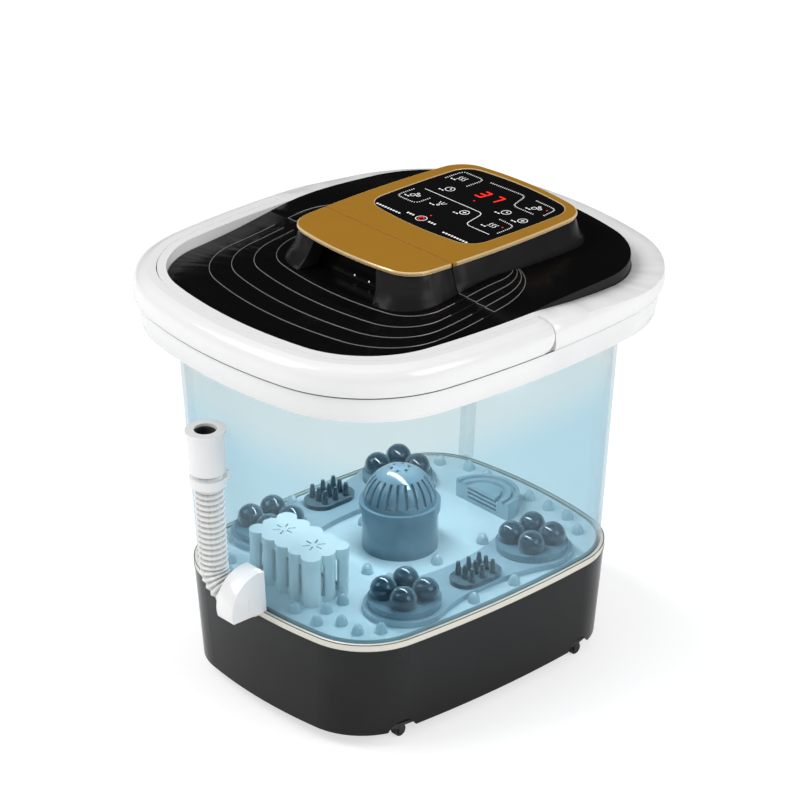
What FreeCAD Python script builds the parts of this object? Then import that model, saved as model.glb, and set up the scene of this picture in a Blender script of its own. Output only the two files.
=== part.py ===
"""Heated foot spa basin with a lift-off front lid, a carry handle and four driven massage discs.

Millimetres. +Z is up, -Y is the user's side (front), +X is the user's right.
The origin lies on the floor, under the centre of the rim.
"""

import FreeCAD, Part
import math
import os
import Sketcher
from FreeCAD import Placement, Rotation, Vector

# Driving sizes in mm. Each one is set once, here, and bound by name everywhere else.
SIZES = {
    "seat_gap": 0.3,             # between pieces that seat on each other
    "run_gap": 0.05,             # radial clearance of shafts and pins
    "seam_gap": 0.8,             # open seam between lid, handle and fixed rim
    # rim outline
    "rim_half_width": 180.0,
    "rim_half_depth": 208.0,
    "rim_side_radius": 820.0,
    "rim_end_radius": 430.0,
    "rim_corner_radius": 112.0,
    "rim_height": 24.5,
    "rim_width": 28.0,           # rim outer edge to the lid opening
    "handle_width": 19.6,
    "handle_wall": 6.0,
    "handle_seam_y": 5.0,
    "pivot_setback": 13.0,
    "pivot_drop": 7.0,
    "pivot_radius": 3.5,
    "handle_end_radius": 15.0,
    "lip_height": 23.0,
    "lip_inset_top": 3.0,
    "lip_inset_low": 7.0,
    "lip_wall": 3.0,
    "shelf_thickness": 6.2,
    "rear_drop": 7.0,            # rear rim falls away behind the handle
    "rear_drop_length": 75.0,
    # tub
    "tub_half_width": 139.0,
    "tub_half_depth": 173.0,
    "tub_corner_radius": 68.0,
    "tub_height": 245.0,
    "tub_wall": 2.6,
    "tub_floor": 3.0,
    "tub_flange": 9.0,
    # base
    "base_half_width": 131.0,
    "base_half_depth": 163.0,
    "base_side_radius": 1100.0,
    "base_end_radius": 460.0,
    "base_corner_radius": 63.0,
    "base_taper_x": 8.5,
    "base_taper_y": 4.0,
    "base_height": 84.0,
    "base_wall": 3.0,
    "base_flange": 16.0,
    "flange_thickness": 3.0,
    "plate_setup": 1.0,
    "base_plate_thickness": 3.0,
    "floor_gap": 12.0,
    "trim_height": 6.0,
    "trim_width": 3.2,
    "scoop_x": -20.0,
    "scoop_radius": 42.0,
    "scoop_depth": 9.0,
    "notch_radius": 15.0,
    "notch_drop": 6.0,
    "post_radius": 5.0,
    "post_x": 60.0,
    "post_side_x": 110.0,
    "post_end_y": 144.0,
    "screw_radius": 1.5,
    "screw_head_radius": 3.4,
    "screw_length": 14.0,
    # footbed and massage stations
    "bed_thickness": 4.0,
    "zone_height": 5.0,
    "zone_margin": 4.0,
    "zone_neck": 44.0,
    "disc_x": 86.0,
    "disc_front_y": 72.0,
    "disc_rear_y": 74.0,
    "disc_radius": 31.0,
    "disc_thickness": 6.0,
    "ball_radius": 11.5,
    "ball_pitch": 17.5,
    "shaft_radius": 4.0,
    "seal_radius": 9.0,
    "gearbox_radius": 21.0,
    "gearbox_height": 22.0,
    "motor_radius": 14.0,
    "motor_height": 30.0,
    "socket_depth": 14.0,
    "pad_x": 94.0,
    "pad_y": 1.0,
    "spike_height": 12.0,
    "spike_radius": 3.4,
    "spike_pitch": 10.0,
    "nub_radius": 5.2,
    "nub_height": 8.5,
    # central dome
    "dome_radius": 33.0,
    "dome_height": 43.0,
    "dome_wall": 3.0,
    "collar_height": 8.0,
    "grille_radius": 31.5,
    "slat_gap": 2.4,
    # jet cover
    "jet_y": 96.0,
    "jet_radius": 33.0,
    "jet_height": 17.0,
    # herb box
    "herb_x": -4.0,
    "herb_y": -110.0,
    "herb_length": 84.0,
    "herb_depth": 46.0,
    "herb_height": 38.0,
    "herb_wall": 3.0,
    "herb_cover_height": 6.0,
    "herb_column_radius": 8.2,
    "herb_pitch_x": 16.8,
    "herb_pitch_y": 15.3,
    "herb_slot": 4.4,
    # lid and console
    "lid_height": 15.0,
    "lid_ramp_rise": 9.6,        # rear lid surface above the front one
    "lid_ramp_front": 62.0,
    "lid_ramp_back": 12.0,
    "lid_tail_rise": 4.4,
    "lid_wall": 3.0,
    "lid_seam_y": -13.6,
    "ridge_half_width": 128.0,
    "ridge_side_step": 11.0,
    "ridge_front": 141.0,
    "ridge_front_step": 20.5,
    "ridge_back": 66.0,
    "ridge_rise": 0.7,
    "ridge_corner_radius": 64.0,
    "ridge_corner_step": 9.0,
    "pod_y": 42.0,
    "pod_half_width": 79.0,
    "pod_half_depth": 104.5,
    "pod_corner_radius": 26.0,
    "pod_side_radius": 900.0,
    "pod_end_radius": 330.0,
    "pod_spread_mid": 10.0,
    "pod_spread_low": 15.0,
    "pod_mid_rise": 7.0,
    "pod_height": 29.8,
    "bezel_thickness": 4.0,
    "panel_half_width": 66.0,
    "panel_half_depth": 63.0,
    "panel_corner_radius": 20.0,
    "panel_y": 78.0,
    "panel_thickness": 3.4,
    "grip_half_width": 38.0,
    "grip_spread": 8.0,
    "grip_depth": 15.0,
    "grip_foot": 3.5,
    # casters
    "wheel_radius": 5.6,
    "wheel_width": 6.0,
    "axle_radius": 1.5,
    "caster_x": 106.5,
    "caster_y": 102.0,
    "caster_trail": 4.5,
    "stem_radius": 3.0,
    "stem_height": 14.0,
    "fork_thickness": 1.4,
    # drain hose
    "hose_radius": 12.5,
    "hose_bore": 8.5,
    "hose_rib_depth": 1.8,
    "hose_rib_pitch": 5.2,
    "hose_bend": 24.0,
    "hose_x": -30.0,
    "hose_offset": 18.0,
    "hose_low": 18.0,
    "hose_run_length": 90.0,
    "hose_turn_angle": 12.0,
    "hose_tail": 15.0,
    "cap_radius": 15.5,
    "cap_height": 38.0,
    "cap_bore": 9.6,
    "cap_lip": 3.0,
    "clip_wall": 3.0,
    "clip_height": 8.0,
    "clip_width": 12.0,
    "clip_reach": 30.0,
    "hood_radius": 30.0,
    "hood_wall": 3.5,
    "hood_width": 21.0,
    "hood_rise": 9.0,
    "hood_out": 3.5,
    # works in the base
    "pump_radius": 24.0,
    "pump_height": 44.0,
    "pump_y": -92.0,
    "heater_radius": 18.0,
    "heater_length": 92.0,
    "heater_y": 96.0,
    "heater_level": 24.0,
    "pipe_radius": 6.0,
    "air_length": 84.0,
    "air_depth": 58.0,
    "air_height": 42.0,
    "board_thickness": 1.6,
    "coil_length": 28.0,
    "coil_depth": 32.0,
    "coil_height": 26.0,
    "relay_length": 14.0,
    "relay_depth": 18.0,
    "board_leg_x": 15.0,
    "board_leg_y": 32.0,
    "board_setup": 6.0,
    "inlet_x": 30.0,
    "inlet_radius": 8.0,
    "duct_x": -84.0,
    "duct_width": 9.0,
    "duct_depth": 7.0,
}

doc = FreeCAD.newDocument("foot_spa")
sheet = doc.addObject("Spreadsheet::Sheet", "sizes")
for row, (alias, number) in enumerate(SIZES.items(), start=1):
    sheet.set(f"A{row}", alias)
    sheet.set(f"B{row}", str(number))
    sheet.setAlias(f"B{row}", alias)
doc.recompute()

NODES = []

# Levels, each written as a sum of sizes.
BASE_LOW = "floor_gap"
BASE_TOP = "floor_gap + base_height"
TRIM_TOP = f"{BASE_TOP} + trim_height"
FLOOR_TOP = f"{BASE_TOP} + tub_floor"
BED_LOW = f"{FLOOR_TOP} + seat_gap"
BED_TOP = f"{BED_LOW} + bed_thickness"
ZONE_TOP = f"{BED_TOP} + zone_height"
DISC_LOW = f"{ZONE_TOP} + seat_gap"
DISC_TOP = f"{DISC_LOW} + disc_thickness"
TUB_TOP = f"{BASE_TOP} + tub_height"
SHELF_LOW = f"{TUB_TOP} + seat_gap"
SHELF_TOP = f"{SHELF_LOW} + shelf_thickness"
RIM_TOP = f"{SHELF_TOP} + rim_height"
LID_LOW = f"{SHELF_TOP} + seat_gap"
LID_TOP = f"{LID_LOW} + lid_height"
POD_TOP = f"{LID_TOP} + pod_height"
BEZEL_TOP = f"{POD_TOP} + bezel_thickness"
PLATE_LOW = f"{BASE_LOW} + plate_setup"
PLATE_TOP = f"{PLATE_LOW} + base_plate_thickness"
PIVOT_LEVEL = f"{RIM_TOP} - pivot_drop"
PIVOT_Y = "handle_seam_y - pivot_setback"
POD_FRONT = "pod_y - pod_half_depth"

# Outline families: half width, half depth, side, end and corner radius.
RIM = ("rim_half_width", "rim_half_depth", "rim_side_radius", "rim_end_radius", "rim_corner_radius")
TUB = ("tub_half_width", "tub_half_depth", "base_side_radius", "base_end_radius", "tub_corner_radius")
BASE = ("base_half_width", "base_half_depth", "base_side_radius", "base_end_radius", "base_corner_radius")
BASE_FOOT = (
    "base_half_width - base_taper_x",
    "base_half_depth - base_taper_y",
    "base_side_radius",
    "base_end_radius",
    "base_corner_radius - base_taper_y",
)
POD = ("pod_half_width", "pod_half_depth", "pod_side_radius", "pod_end_radius", "pod_corner_radius")
PANEL = ("panel_half_width", "panel_half_depth", "pod_side_radius", "pod_end_radius", "panel_corner_radius")


def amount(text):
    """Value of a sum of size names and numbers, such as "floor_gap + 2 * base_wall"."""
    total = 0.0
    sign = 1.0
    term = None
    divide = False
    for word in text.split():
        if word in ("+", "-"):
            total += 0.0 if term is None else sign * term
            sign = 1.0 if word == "+" else -1.0
            term = None
        elif word in ("*", "/"):
            divide = word == "/"
        else:
            value = SIZES[word] if word in SIZES else float(word)
            if term is None:
                term = value
            else:
                term = term / value if divide else term * value
            divide = False
    return total + sign * term


def bind(thing, prop, text):
    """Ties a property to an expression of the sheet's sizes."""
    words = ["sizes." + word if word in SIZES else word for word in text.split()]
    thing.setExpression(prop, " ".join(words))


def move(thing, x="0", y="0", z="0"):
    """Ties an object's place to expressions."""
    for axis, text in zip("xyz", (x, y, z)):
        if text != "0":
            bind(thing, f"Placement.Base.{axis}", text)
    return thing


def node(thing, label=None):
    """Marks an object as one of the finished pieces."""
    thing.Label = label or thing.Name
    NODES.append(thing)
    return thing


def box(name, size, at):
    """Block centred on at in x and y, standing on its level."""
    thing = doc.addObject("Part::Box", name)
    for prop, text in zip(("Length", "Width", "Height"), size):
        bind(thing, prop, text)
    return move(thing, f"{at[0]} - ( {size[0]} ) / 2", f"{at[1]} - ( {size[1]} ) / 2", at[2])


def cylinder(name, radius, height, at, axis="Z"):
    """Cylinder from at along +X, +Y or +Z."""
    thing = doc.addObject("Part::Cylinder", name)
    bind(thing, "Radius", radius)
    bind(thing, "Height", height)
    turn = {"X": Rotation(Vector(0, 1, 0), 90), "Y": Rotation(Vector(1, 0, 0), -90), "Z": Rotation()}
    thing.Placement = Placement(Vector(0, 0, 0), turn[axis])
    return move(thing, *at)


def cone(name, low, top, height, at):
    """Upright cone frustum."""
    thing = doc.addObject("Part::Cone", name)
    bind(thing, "Radius1", low)
    bind(thing, "Radius2", top)
    bind(thing, "Height", height)
    return move(thing, *at)


def fuse(name, *parts):
    """Union of objects."""
    if len(parts) == 1:
        return parts[0]
    thing = doc.addObject("Part::MultiFuse", name)
    thing.Shapes = list(parts)
    return thing


def cut(name, base, *tools):
    """Base without the tools."""
    thing = doc.addObject("Part::Cut", name)
    thing.Base = base
    thing.Tool = fuse(name + "_tools", *tools)
    return thing


def common(name, base, tool):
    """What base and tool share."""
    thing = doc.addObject("Part::Common", name)
    thing.Base = base
    thing.Tool = tool
    return thing


def group(name, *parts):
    """Separate solids kept as one node."""
    thing = doc.addObject("Part::Compound", name)
    thing.Links = list(parts)
    return thing


def new_body(name):
    """Empty PartDesign body."""
    return doc.addObject("PartDesign::Body", name)


def ground_plane(body):
    """The body's own XY plane."""
    return [feature for feature in body.Origin.OriginFeatures if feature.Role == "XY_Plane"][0]


def outline(body, name, shape, level, drawn=""):
    """Closed outline of eight tangent arcs, drawn in or out by the text drawn."""
    half_w, half_d, side_r, end_r, corner_r = shape
    sketch = body.newObject("Sketcher::SketchObject", name)
    sketch.AttachmentSupport = [(ground_plane(body), "")]
    sketch.MapMode = "FlatFace"
    bind(sketch, "AttachmentOffset.Base.z", level)
    side = amount(f"{side_r} {drawn}")
    end = amount(f"{end_r} {drawn}")
    corner = amount(f"{corner_r} {drawn}")
    side_x = amount(half_w) - amount(side_r)
    end_y = amount(half_d) - amount(end_r)
    span = math.hypot(side_x, end_y)
    reach = ((side - corner) ** 2 - (end - corner) ** 2 + span ** 2) / (2 * span)
    rise = math.sqrt((side - corner) ** 2 - reach ** 2)
    ux = -side_x / span
    uy = end_y / span
    corner_x = side_x + reach * ux - rise * uy
    corner_y = reach * uy + rise * ux
    turn_a = math.atan2(corner_y, corner_x - side_x)
    turn_b = math.atan2(corner_y - end_y, corner_x)
    half = math.pi
    arcs = (
        (side_x, 0.0, side, -turn_a, turn_a),
        (corner_x, corner_y, corner, turn_a, turn_b),
        (0.0, end_y, end, turn_b, half - turn_b),
        (-corner_x, corner_y, corner, half - turn_b, half - turn_a),
        (-side_x, 0.0, side, half - turn_a, half + turn_a),
        (-corner_x, -corner_y, corner, half + turn_a, half + turn_b),
        (0.0, -end_y, end, half + turn_b, 2 * half - turn_b),
        (corner_x, -corner_y, corner, 2 * half - turn_b, 2 * half - turn_a),
    )
    for x, y, radius, start, stop in arcs:
        circle = Part.Circle(Vector(x, y, 0), Vector(0, 0, 1), radius)
        sketch.addGeometry(Part.ArcOfCircle(circle, start, stop), False)
    count = len(arcs)
    for index in range(count):
        sketch.addConstraint(Sketcher.Constraint("Tangent", index, 2, (index + 1) % count, 1))
    for index, axis in ((0, -1), (2, -2)):
        sketch.addConstraint(Sketcher.Constraint("PointOnObject", index, 3, axis))
        sketch.addConstraint(Sketcher.Constraint("Symmetric", index, 3, index + 4, 3, -1, 1))
        sketch.addConstraint(Sketcher.Constraint("Equal", index, index + 4))
    for index in (3, 5, 7):
        sketch.addConstraint(Sketcher.Constraint("Equal", 1, index))
    sized = (
        (Sketcher.Constraint("Radius", 0, side), f"{side_r} {drawn}"),
        (Sketcher.Constraint("Radius", 2, end), f"{end_r} {drawn}"),
        (Sketcher.Constraint("Radius", 1, corner), f"{corner_r} {drawn}"),
        (Sketcher.Constraint("DistanceX", 0, 3, -1, 1, -side_x), f"{side_r} - ( {half_w} )"),
        (Sketcher.Constraint("DistanceY", 2, 3, -1, 1, -end_y), f"{end_r} - ( {half_d} )"),
    )
    for constraint, text in sized:
        index = sketch.addConstraint(constraint)
        bind(sketch, f"Constraints[{index}]", text)
    return sketch


def pad(body, sketch, length, down=False):
    """Prism on a sketch, upwards unless told otherwise."""
    feature = body.newObject("PartDesign::Pad", sketch.Name + "_pad")
    feature.Profile = sketch
    bind(feature, "Length", length)
    feature.Reversed = down
    return feature


def pocket(body, sketch, length, up=False):
    """Cut from a sketch, downwards unless told otherwise."""
    feature = body.newObject("PartDesign::Pocket", sketch.Name + "_pocket")
    feature.Profile = sketch
    bind(feature, "Length", length)
    feature.Reversed = up
    return feature


def loft(body, name, sketches, kind="AdditiveLoft"):
    """Ruled loft through level outlines."""
    feature = body.newObject(f"PartDesign::{kind}", name)
    feature.Profile = sketches[0]
    feature.Sections = sketches[1:]
    feature.Ruled = True
    return feature


def prism(name, shape, level, height, drawn="", y="0"):
    """Upright block of an outline."""
    body = new_body(name)
    pad(body, outline(body, name + "_line", shape, level, drawn), height)
    return move(body, "0", y, "0")


def everywhere(name, level, height):
    """Block that covers the whole plan between two levels."""
    return box(name, ("4 * rim_half_width", "4 * rim_half_depth", height), ("0", "0", level))


def across_slab(name, points):
    """Block as wide as the rim, below a smooth line of (y, z) points that runs from front to back."""
    curve = Part.BSplineCurve()
    curve.interpolate([Vector(0, y, z) for y, z in points])
    front_y, front_z = points[0]
    back_y, back_z = points[-1]
    reach = 2 * amount("rim_half_width")
    low = amount(LID_LOW) - 1
    corners = [
        Vector(0, back_y, back_z),
        Vector(0, back_y, low),
        Vector(0, front_y, low),
        Vector(0, front_y, front_z),
    ]
    wire = Part.Wire([curve.toShape(), Part.makePolygon(corners)])
    thing = doc.addObject("Part::Feature", name)
    thing.Shape = Part.Face(wire).extrude(Vector(2 * reach, 0, 0)).translated(Vector(-reach, 0, 0))
    return thing


def flared_block(name, low_half, top_half, low, top, front, back):
    """Block between two levels whose sides lean out towards its foot."""
    thing = doc.addObject("Part::Wedge", name)
    sides = (
        ("Xmin", f"0 - ( {low_half} )"),
        ("Xmax", low_half),
        ("X2min", f"0 - ( {top_half} )"),
        ("X2max", top_half),
        ("Ymin", "0"),
        ("Ymax", f"{top} - ( {low} )"),
        ("Zmin", f"0 - ( {back} )"),
        ("Zmax", f"0 - ( {front} )"),
        ("Z2min", f"0 - ( {back} )"),
        ("Z2max", f"0 - ( {front} )"),
    )
    for prop, text in sides:
        bind(thing, prop, text)
    thing.Placement = Placement(Vector(0, 0, 0), Rotation(Vector(1, 0, 0), 90))
    return move(thing, "0", "0", low)


def front_of(name, seam):
    """Block that holds all in front of a seam."""
    thing = box(name, ("4 * rim_half_width", "4 * rim_half_depth", "1000"), ("0", "0", "0"))
    bind(thing, "Placement.Base.y", f"{seam} - 4 * rim_half_depth")
    return thing


def behind(name, seam):
    """Block that holds all behind a seam."""
    thing = box(name, ("4 * rim_half_width", "4 * rim_half_depth", "1000"), ("0", "0", "0"))
    bind(thing, "Placement.Base.y", seam)
    return thing


def stations():
    """Name, x and y of each of the four massage stations."""
    for side, x in (("left", "0 - disc_x"), ("right", "disc_x")):
        for end, y in (("front", "0 - disc_front_y"), ("rear", "disc_rear_y")):
            yield f"{end}_{side}", x, y


# ---------------------------------------------------------------- base


def base_shell():
    """Tapered skirt with a flange on top, screw posts, wheel notches and the hose scoop."""
    body = new_body("base_skirt")
    loft(body, "skirt_outside", [
        outline(body, "skirt_foot", BASE_FOOT, BASE_LOW),
        outline(body, "skirt_head", BASE, BASE_TOP),
    ])
    loft(body, "skirt_inside", [
        outline(body, "skirt_foot_inside", BASE_FOOT, BASE_LOW, "- base_wall"),
        outline(body, "skirt_head_inside", BASE, f"{BASE_TOP} - flange_thickness", "- base_wall"),
    ], "SubtractiveLoft")
    opening = outline(body, "flange_opening", BASE, BASE_TOP, "- base_wall - base_flange")
    pocket(body, opening, "2 * flange_thickness")
    post_height = "base_height - plate_setup - base_plate_thickness - seat_gap - flange_thickness / 2"
    posts = []
    for index, (x, y) in enumerate(screw_places()):
        post = cylinder(f"post{index}", "post_radius", post_height, (x, y, f"{PLATE_TOP} + seat_gap"))
        hole = cylinder(f"post_hole{index}", "screw_radius", "screw_length", (x, y, PLATE_TOP))
        posts.append(cut(f"screw_post{index}", post, hole))
    notches = []
    for end, y in (("front", "0 - caster_y"), ("rear", "caster_y")):
        at = ("0 - 2 * base_half_width", y, f"{BASE_LOW} - notch_drop")
        notches.append(cylinder(f"notch_{end}", "notch_radius", "4 * base_half_width", at, "X"))
    inlet_at = ("inlet_x", "base_half_depth - 8 * base_wall", f"{BASE_LOW} + base_height / 2")
    inlet = cylinder("inlet_hole", "inlet_radius + run_gap", "12 * base_wall", inlet_at, "Y")
    scoop = hose_scoop("base_scoop", "scoop_radius")
    return node(cut("base_shell", fuse("base_with_posts", body, *posts), *notches, inlet, scoop))


def screw_places():
    """Where the base screws stand."""
    for x in ("0 - post_x", "post_x"):
        for y in ("0 - post_end_y", "post_end_y"):
            yield x, y
    yield "0 - post_side_x", "0"
    yield "post_side_x", "0"


def hose_scoop(name, radius):
    """Round scoop across the front edge of the base, below the hose bend."""
    level = f"{BASE_TOP} - scoop_depth + scoop_radius"
    return cylinder(name, radius, "base_wall + base_flange",
                    ("scoop_x", "0 - base_half_depth - base_wall", level), "Y")


def base_plate():
    """Bottom cover with caster bosses and screw holes."""
    plate = prism("bottom_cover", BASE_FOOT, PLATE_LOW, "base_plate_thickness", "- base_wall - seat_gap")
    bosses = []
    holes = []
    for index, (x, y) in enumerate(caster_places()):
        at = (x, y, PLATE_LOW)
        bosses.append(cylinder(f"boss{index}", "2 * stem_radius", "stem_height + 2 * seat_gap", at))
        holes.append(cylinder(f"stem_bore{index}", "stem_radius + run_gap", "stem_height", at))
    for index, (x, y) in enumerate(screw_places()):
        holes.append(cylinder(f"plate_hole{index}", "screw_radius + seat_gap", "2 * base_plate_thickness",
                              (x, y, f"{PLATE_LOW} - 1")))
        holes.append(cylinder(f"plate_sink{index}", "screw_head_radius + seat_gap",
                              "base_plate_thickness / 2 + 1", (x, y, f"{PLATE_LOW} - 1")))
    return node(cut("base_plate", fuse("cover_with_bosses", plate, *bosses), *holes))


def base_screws():
    """Six screws that hold the bottom cover."""
    screws = []
    for index, (x, y) in enumerate(screw_places()):
        head = cylinder(f"screw_head{index}", "screw_head_radius", "base_plate_thickness / 2",
                        (x, y, PLATE_LOW))
        shank = cylinder(f"screw_shank{index}", "screw_radius", "screw_length", (x, y, PLATE_LOW))
        screws.append(fuse(f"base_screw{index}", head, shank))
    return node(group("base_screws", *screws))


def trim_band():
    """Pale strip between base and tub, which dips along the scoop."""
    strip = prism("strip_outside", BASE, f"{BASE_TOP} - scoop_depth - 1", "scoop_depth + 1 + trim_height")
    hollow = prism("strip_inside", BASE, f"{BASE_TOP} - scoop_depth - 2", "scoop_depth + 4 + trim_height",
                   "- trim_width")
    below = cut("below_strip", everywhere("base_levels", "0", BASE_TOP),
                hose_scoop("strip_dip", "scoop_radius"))
    dip = hose_scoop("strip_scoop", "scoop_radius - trim_height")
    return node(cut("trim_band", strip, hollow, below, dip))


# ---------------------------------------------------------------- tub


def tub_shell():
    """Clear tapered vessel with a flange under the rim."""
    body = new_body("tub_vessel")
    loft(body, "vessel_outside", [
        outline(body, "vessel_foot", BASE, BASE_TOP, "- trim_width - 2 * seat_gap"),
        outline(body, "vessel_head", TUB, TUB_TOP),
    ])
    pad(body, outline(body, "vessel_flange", TUB, TUB_TOP, "+ tub_flange"), "tub_floor", down=True)
    loft(body, "vessel_inside", [
        outline(body, "vessel_floor", BASE, FLOOR_TOP, "- trim_width - 2 * seat_gap - tub_wall"),
        outline(body, "vessel_mouth", TUB, TUB_TOP, "- tub_wall"),
    ], "SubtractiveLoft")
    holes = [
        cylinder(f"seal_hole_{name}", "seal_radius + run_gap", "3 * tub_floor",
                 (x, y, f"{BASE_TOP} - tub_floor"))
        for name, x, y in stations()
    ]
    holes += rim_screw_holes("flange_hole", "screw_radius + seat_gap")
    return node(cut("tub_shell", body, *holes))


def rim_screws():
    """Screws that clamp the tub's flange under the rim's shelf."""
    screws = []
    for index, (x, y) in enumerate(rim_screw_places()):
        low = f"{TUB_TOP} - tub_floor"
        head = cylinder(f"rim_head{index}", "screw_head_radius", "2", (x, y, f"{low} - 2"))
        shank = cylinder(f"rim_shank{index}", "screw_radius", "tub_floor + shelf_thickness - 1",
                         (x, y, f"{low} - 1"))
        screws.append(fuse(f"rim_screw{index}", head, shank))
    return node(group("rim_screws", *screws))


def rim_screw_places():
    """Where the rim screws pass through the flange."""
    for side in "-+":
        for end in "-+":
            yield f"0 {side} tub_half_width {side} tub_flange / 3", f"0 {end} tub_half_depth / 3"
            yield f"0 {side} tub_half_width / 2.4", f"0 {end} tub_half_depth"


def rim_screw_holes(name, radius):
    """Holes for the rim screws."""
    return [
        cylinder(f"{name}{index}", radius, "tub_floor + shelf_thickness - 0.5",
                 (x, y, f"{TUB_TOP} - tub_floor - 1"))
        for index, (x, y) in enumerate(rim_screw_places())
    ]


def footbed():
    """Flat tray of the moulded foot floor, with a hole for each disc's shaft."""
    tray = prism("tray", BASE, BED_LOW, "bed_thickness", "- trim_width - tub_wall - 5 * seat_gap")
    return node(cut("footbed", tray, *shaft_holes("bed_hole")))


def shaft_holes(name):
    """Holes for the four disc shafts, through tray and foot zones."""
    return [
        cylinder(f"{name}_{station}", "shaft_radius + 2", "zone_height + 3 * bed_thickness",
                 (x, y, f"{BED_LOW} - 1"))
        for station, x, y in stations()
    ]


def foot_zones():
    """Two raised foot zones: a round bay at each disc, drawn in to a waist between them."""
    span = amount("disc_front_y + disc_rear_y")
    reach = amount("disc_radius + zone_margin")
    neck = amount("zone_neck / 2")
    waist = (span ** 2 / 4 + neck ** 2 - reach ** 2) / (2 * (reach - neck))
    low = f"{BED_TOP} + seat_gap / 3"
    height = "zone_height - seat_gap / 3"
    middle = "( disc_rear_y - disc_front_y ) / 2"
    zones = []
    for side, sign in (("left", "0 - "), ("right", "")):
        x = f"{sign}disc_x"
        bays = [
            cylinder(f"zone_{end}_{side}", "disc_radius + zone_margin", height, (x, y, low))
            for end, y in (("front", "0 - disc_front_y"), ("rear", "disc_rear_y"))
        ]
        bridge_size = ("2 * disc_radius + 2 * zone_margin", "disc_front_y + disc_rear_y", height)
        bridge = box(f"zone_bridge_{side}", bridge_size, (x, middle, low))
        hollows = [
            cylinder(f"zone_waist_{side}{way}", f"{waist:.4f}", "3 * zone_height",
                     (f"{x} {'+' if way else '-'} {waist + neck:.4f}", middle, f"{BED_TOP} - zone_height"))
            for way in (0, 1)
        ]
        plate = fuse(f"zone_plate_{side}", cut(f"zone_neck_{side}", bridge, *hollows), *bays)
        zones.append(cut(f"foot_zone_{side}", plate, *shaft_holes(f"zone_hole_{side}")))
    return node(group("foot_zones", *zones))


def floor_nubs():
    """Blunt nubs that stand on the tray."""
    nubs = []
    for index, (x, y) in enumerate(nub_places()):
        nub = doc.addObject("Part::Ellipsoid", f"nub{index}")
        bind(nub, "Radius1", "nub_height")
        bind(nub, "Radius2", "nub_radius")
        bind(nub, "Radius3", "nub_radius")
        nub.Angle1 = 0
        nubs.append(move(nub, x, y, f"{BED_TOP} + seat_gap / 3"))
    return node(group("floor_nubs", *nubs))


def nub_places():
    """Nubs round the foot zones in mirrored pairs, and those that only the right side has room for."""
    pairs = (
        (("30", "58"), "0 - base_half_depth + 19"),
        (("72", "92"), "0 - base_half_depth + 34"),
        (("103",), "0 - base_half_depth + 50"),
        (("15", "39", "63"), "base_half_depth - 24"),
        (("88",), "base_half_depth - 36"),
        (("46",), "disc_rear_y - 20"),
        (("45",), "0 - disc_front_y + 20"),
        (("20",), "0 - dome_radius - 22"),
        (("47",), "0"),
        (("117",), "disc_rear_y - 50"),
        (("117",), "0 - disc_front_y + 50"),
    )
    for xs, y in pairs:
        for x in xs:
            for side in ("", "0 - "):
                yield side + x, y
    yield "48", "0 - base_half_depth + 38"
    yield "46", "0 - base_half_depth + 58"


def massage_stations():
    """Each station: driven disc on its shaft, four balls, seal and gear motor."""
    seals = []
    for name, x, y in stations():
        gearbox_top = f"{BASE_TOP} - seat_gap"
        plate = cylinder(f"plate_{name}", "disc_radius", "disc_thickness", (x, y, DISC_LOW))
        hub = cylinder(f"hub_{name}", "ball_radius / 2", "ball_radius", (x, y, DISC_LOW))
        shaft_low = f"{gearbox_top} - socket_depth + 2"
        through_floor = "tub_floor + bed_thickness + zone_height + 3 * seat_gap"
        shaft = cylinder(f"shaft_{name}", "shaft_radius",
                         f"socket_depth - 2 + {through_floor} + disc_thickness / 2", (x, y, shaft_low))
        balls = []
        cups = []
        for index, (dx, dy) in enumerate(((1, 1), (1, -1), (-1, -1), (-1, 1))):
            ball_x = f"{x} {'+' if dx > 0 else '-'} ball_pitch * 0.7071"
            ball_y = f"{y} {'+' if dy > 0 else '-'} ball_pitch * 0.7071"
            level = f"{DISC_TOP} + ball_radius / 2"
            for kind, grow, pieces in (("ball", "0", balls), ("cup", "seat_gap", cups)):
                ball = doc.addObject("Part::Sphere", f"{kind}_{name}{index}")
                bind(ball, "Radius", f"ball_radius + {grow}")
                pieces.append(move(ball, ball_x, ball_y, level))
        node(cut(f"massage_disc_{name}", fuse(f"disc_{name}", plate, hub, shaft), *cups))
        node(group(f"massage_balls_{name}", *balls))
        ring = cylinder(f"seal_ring_{name}", "seal_radius", "tub_floor", (x, y, BASE_TOP))
        bore = cylinder(f"seal_bore_{name}", "shaft_radius + run_gap", "2 * tub_floor",
                        (x, y, f"{BASE_TOP} - tub_floor / 2"))
        seals.append(cut(f"seal_{name}", ring, bore))
        gearbox = cylinder(f"gearbox_{name}", "gearbox_radius", "gearbox_height",
                           (x, y, f"{gearbox_top} - gearbox_height"))
        can = cylinder(f"can_{name}", "motor_radius", "motor_height",
                       (x, y, f"{gearbox_top} - gearbox_height - motor_height"))
        socket = cylinder(f"socket_{name}", "shaft_radius + run_gap", "socket_depth + 1",
                          (x, y, f"{gearbox_top} - socket_depth"))
        node(cut(f"massage_motor_{name}", fuse(f"drive_{name}", gearbox, can), socket))
    return node(group("shaft_seals", *seals))


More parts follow.
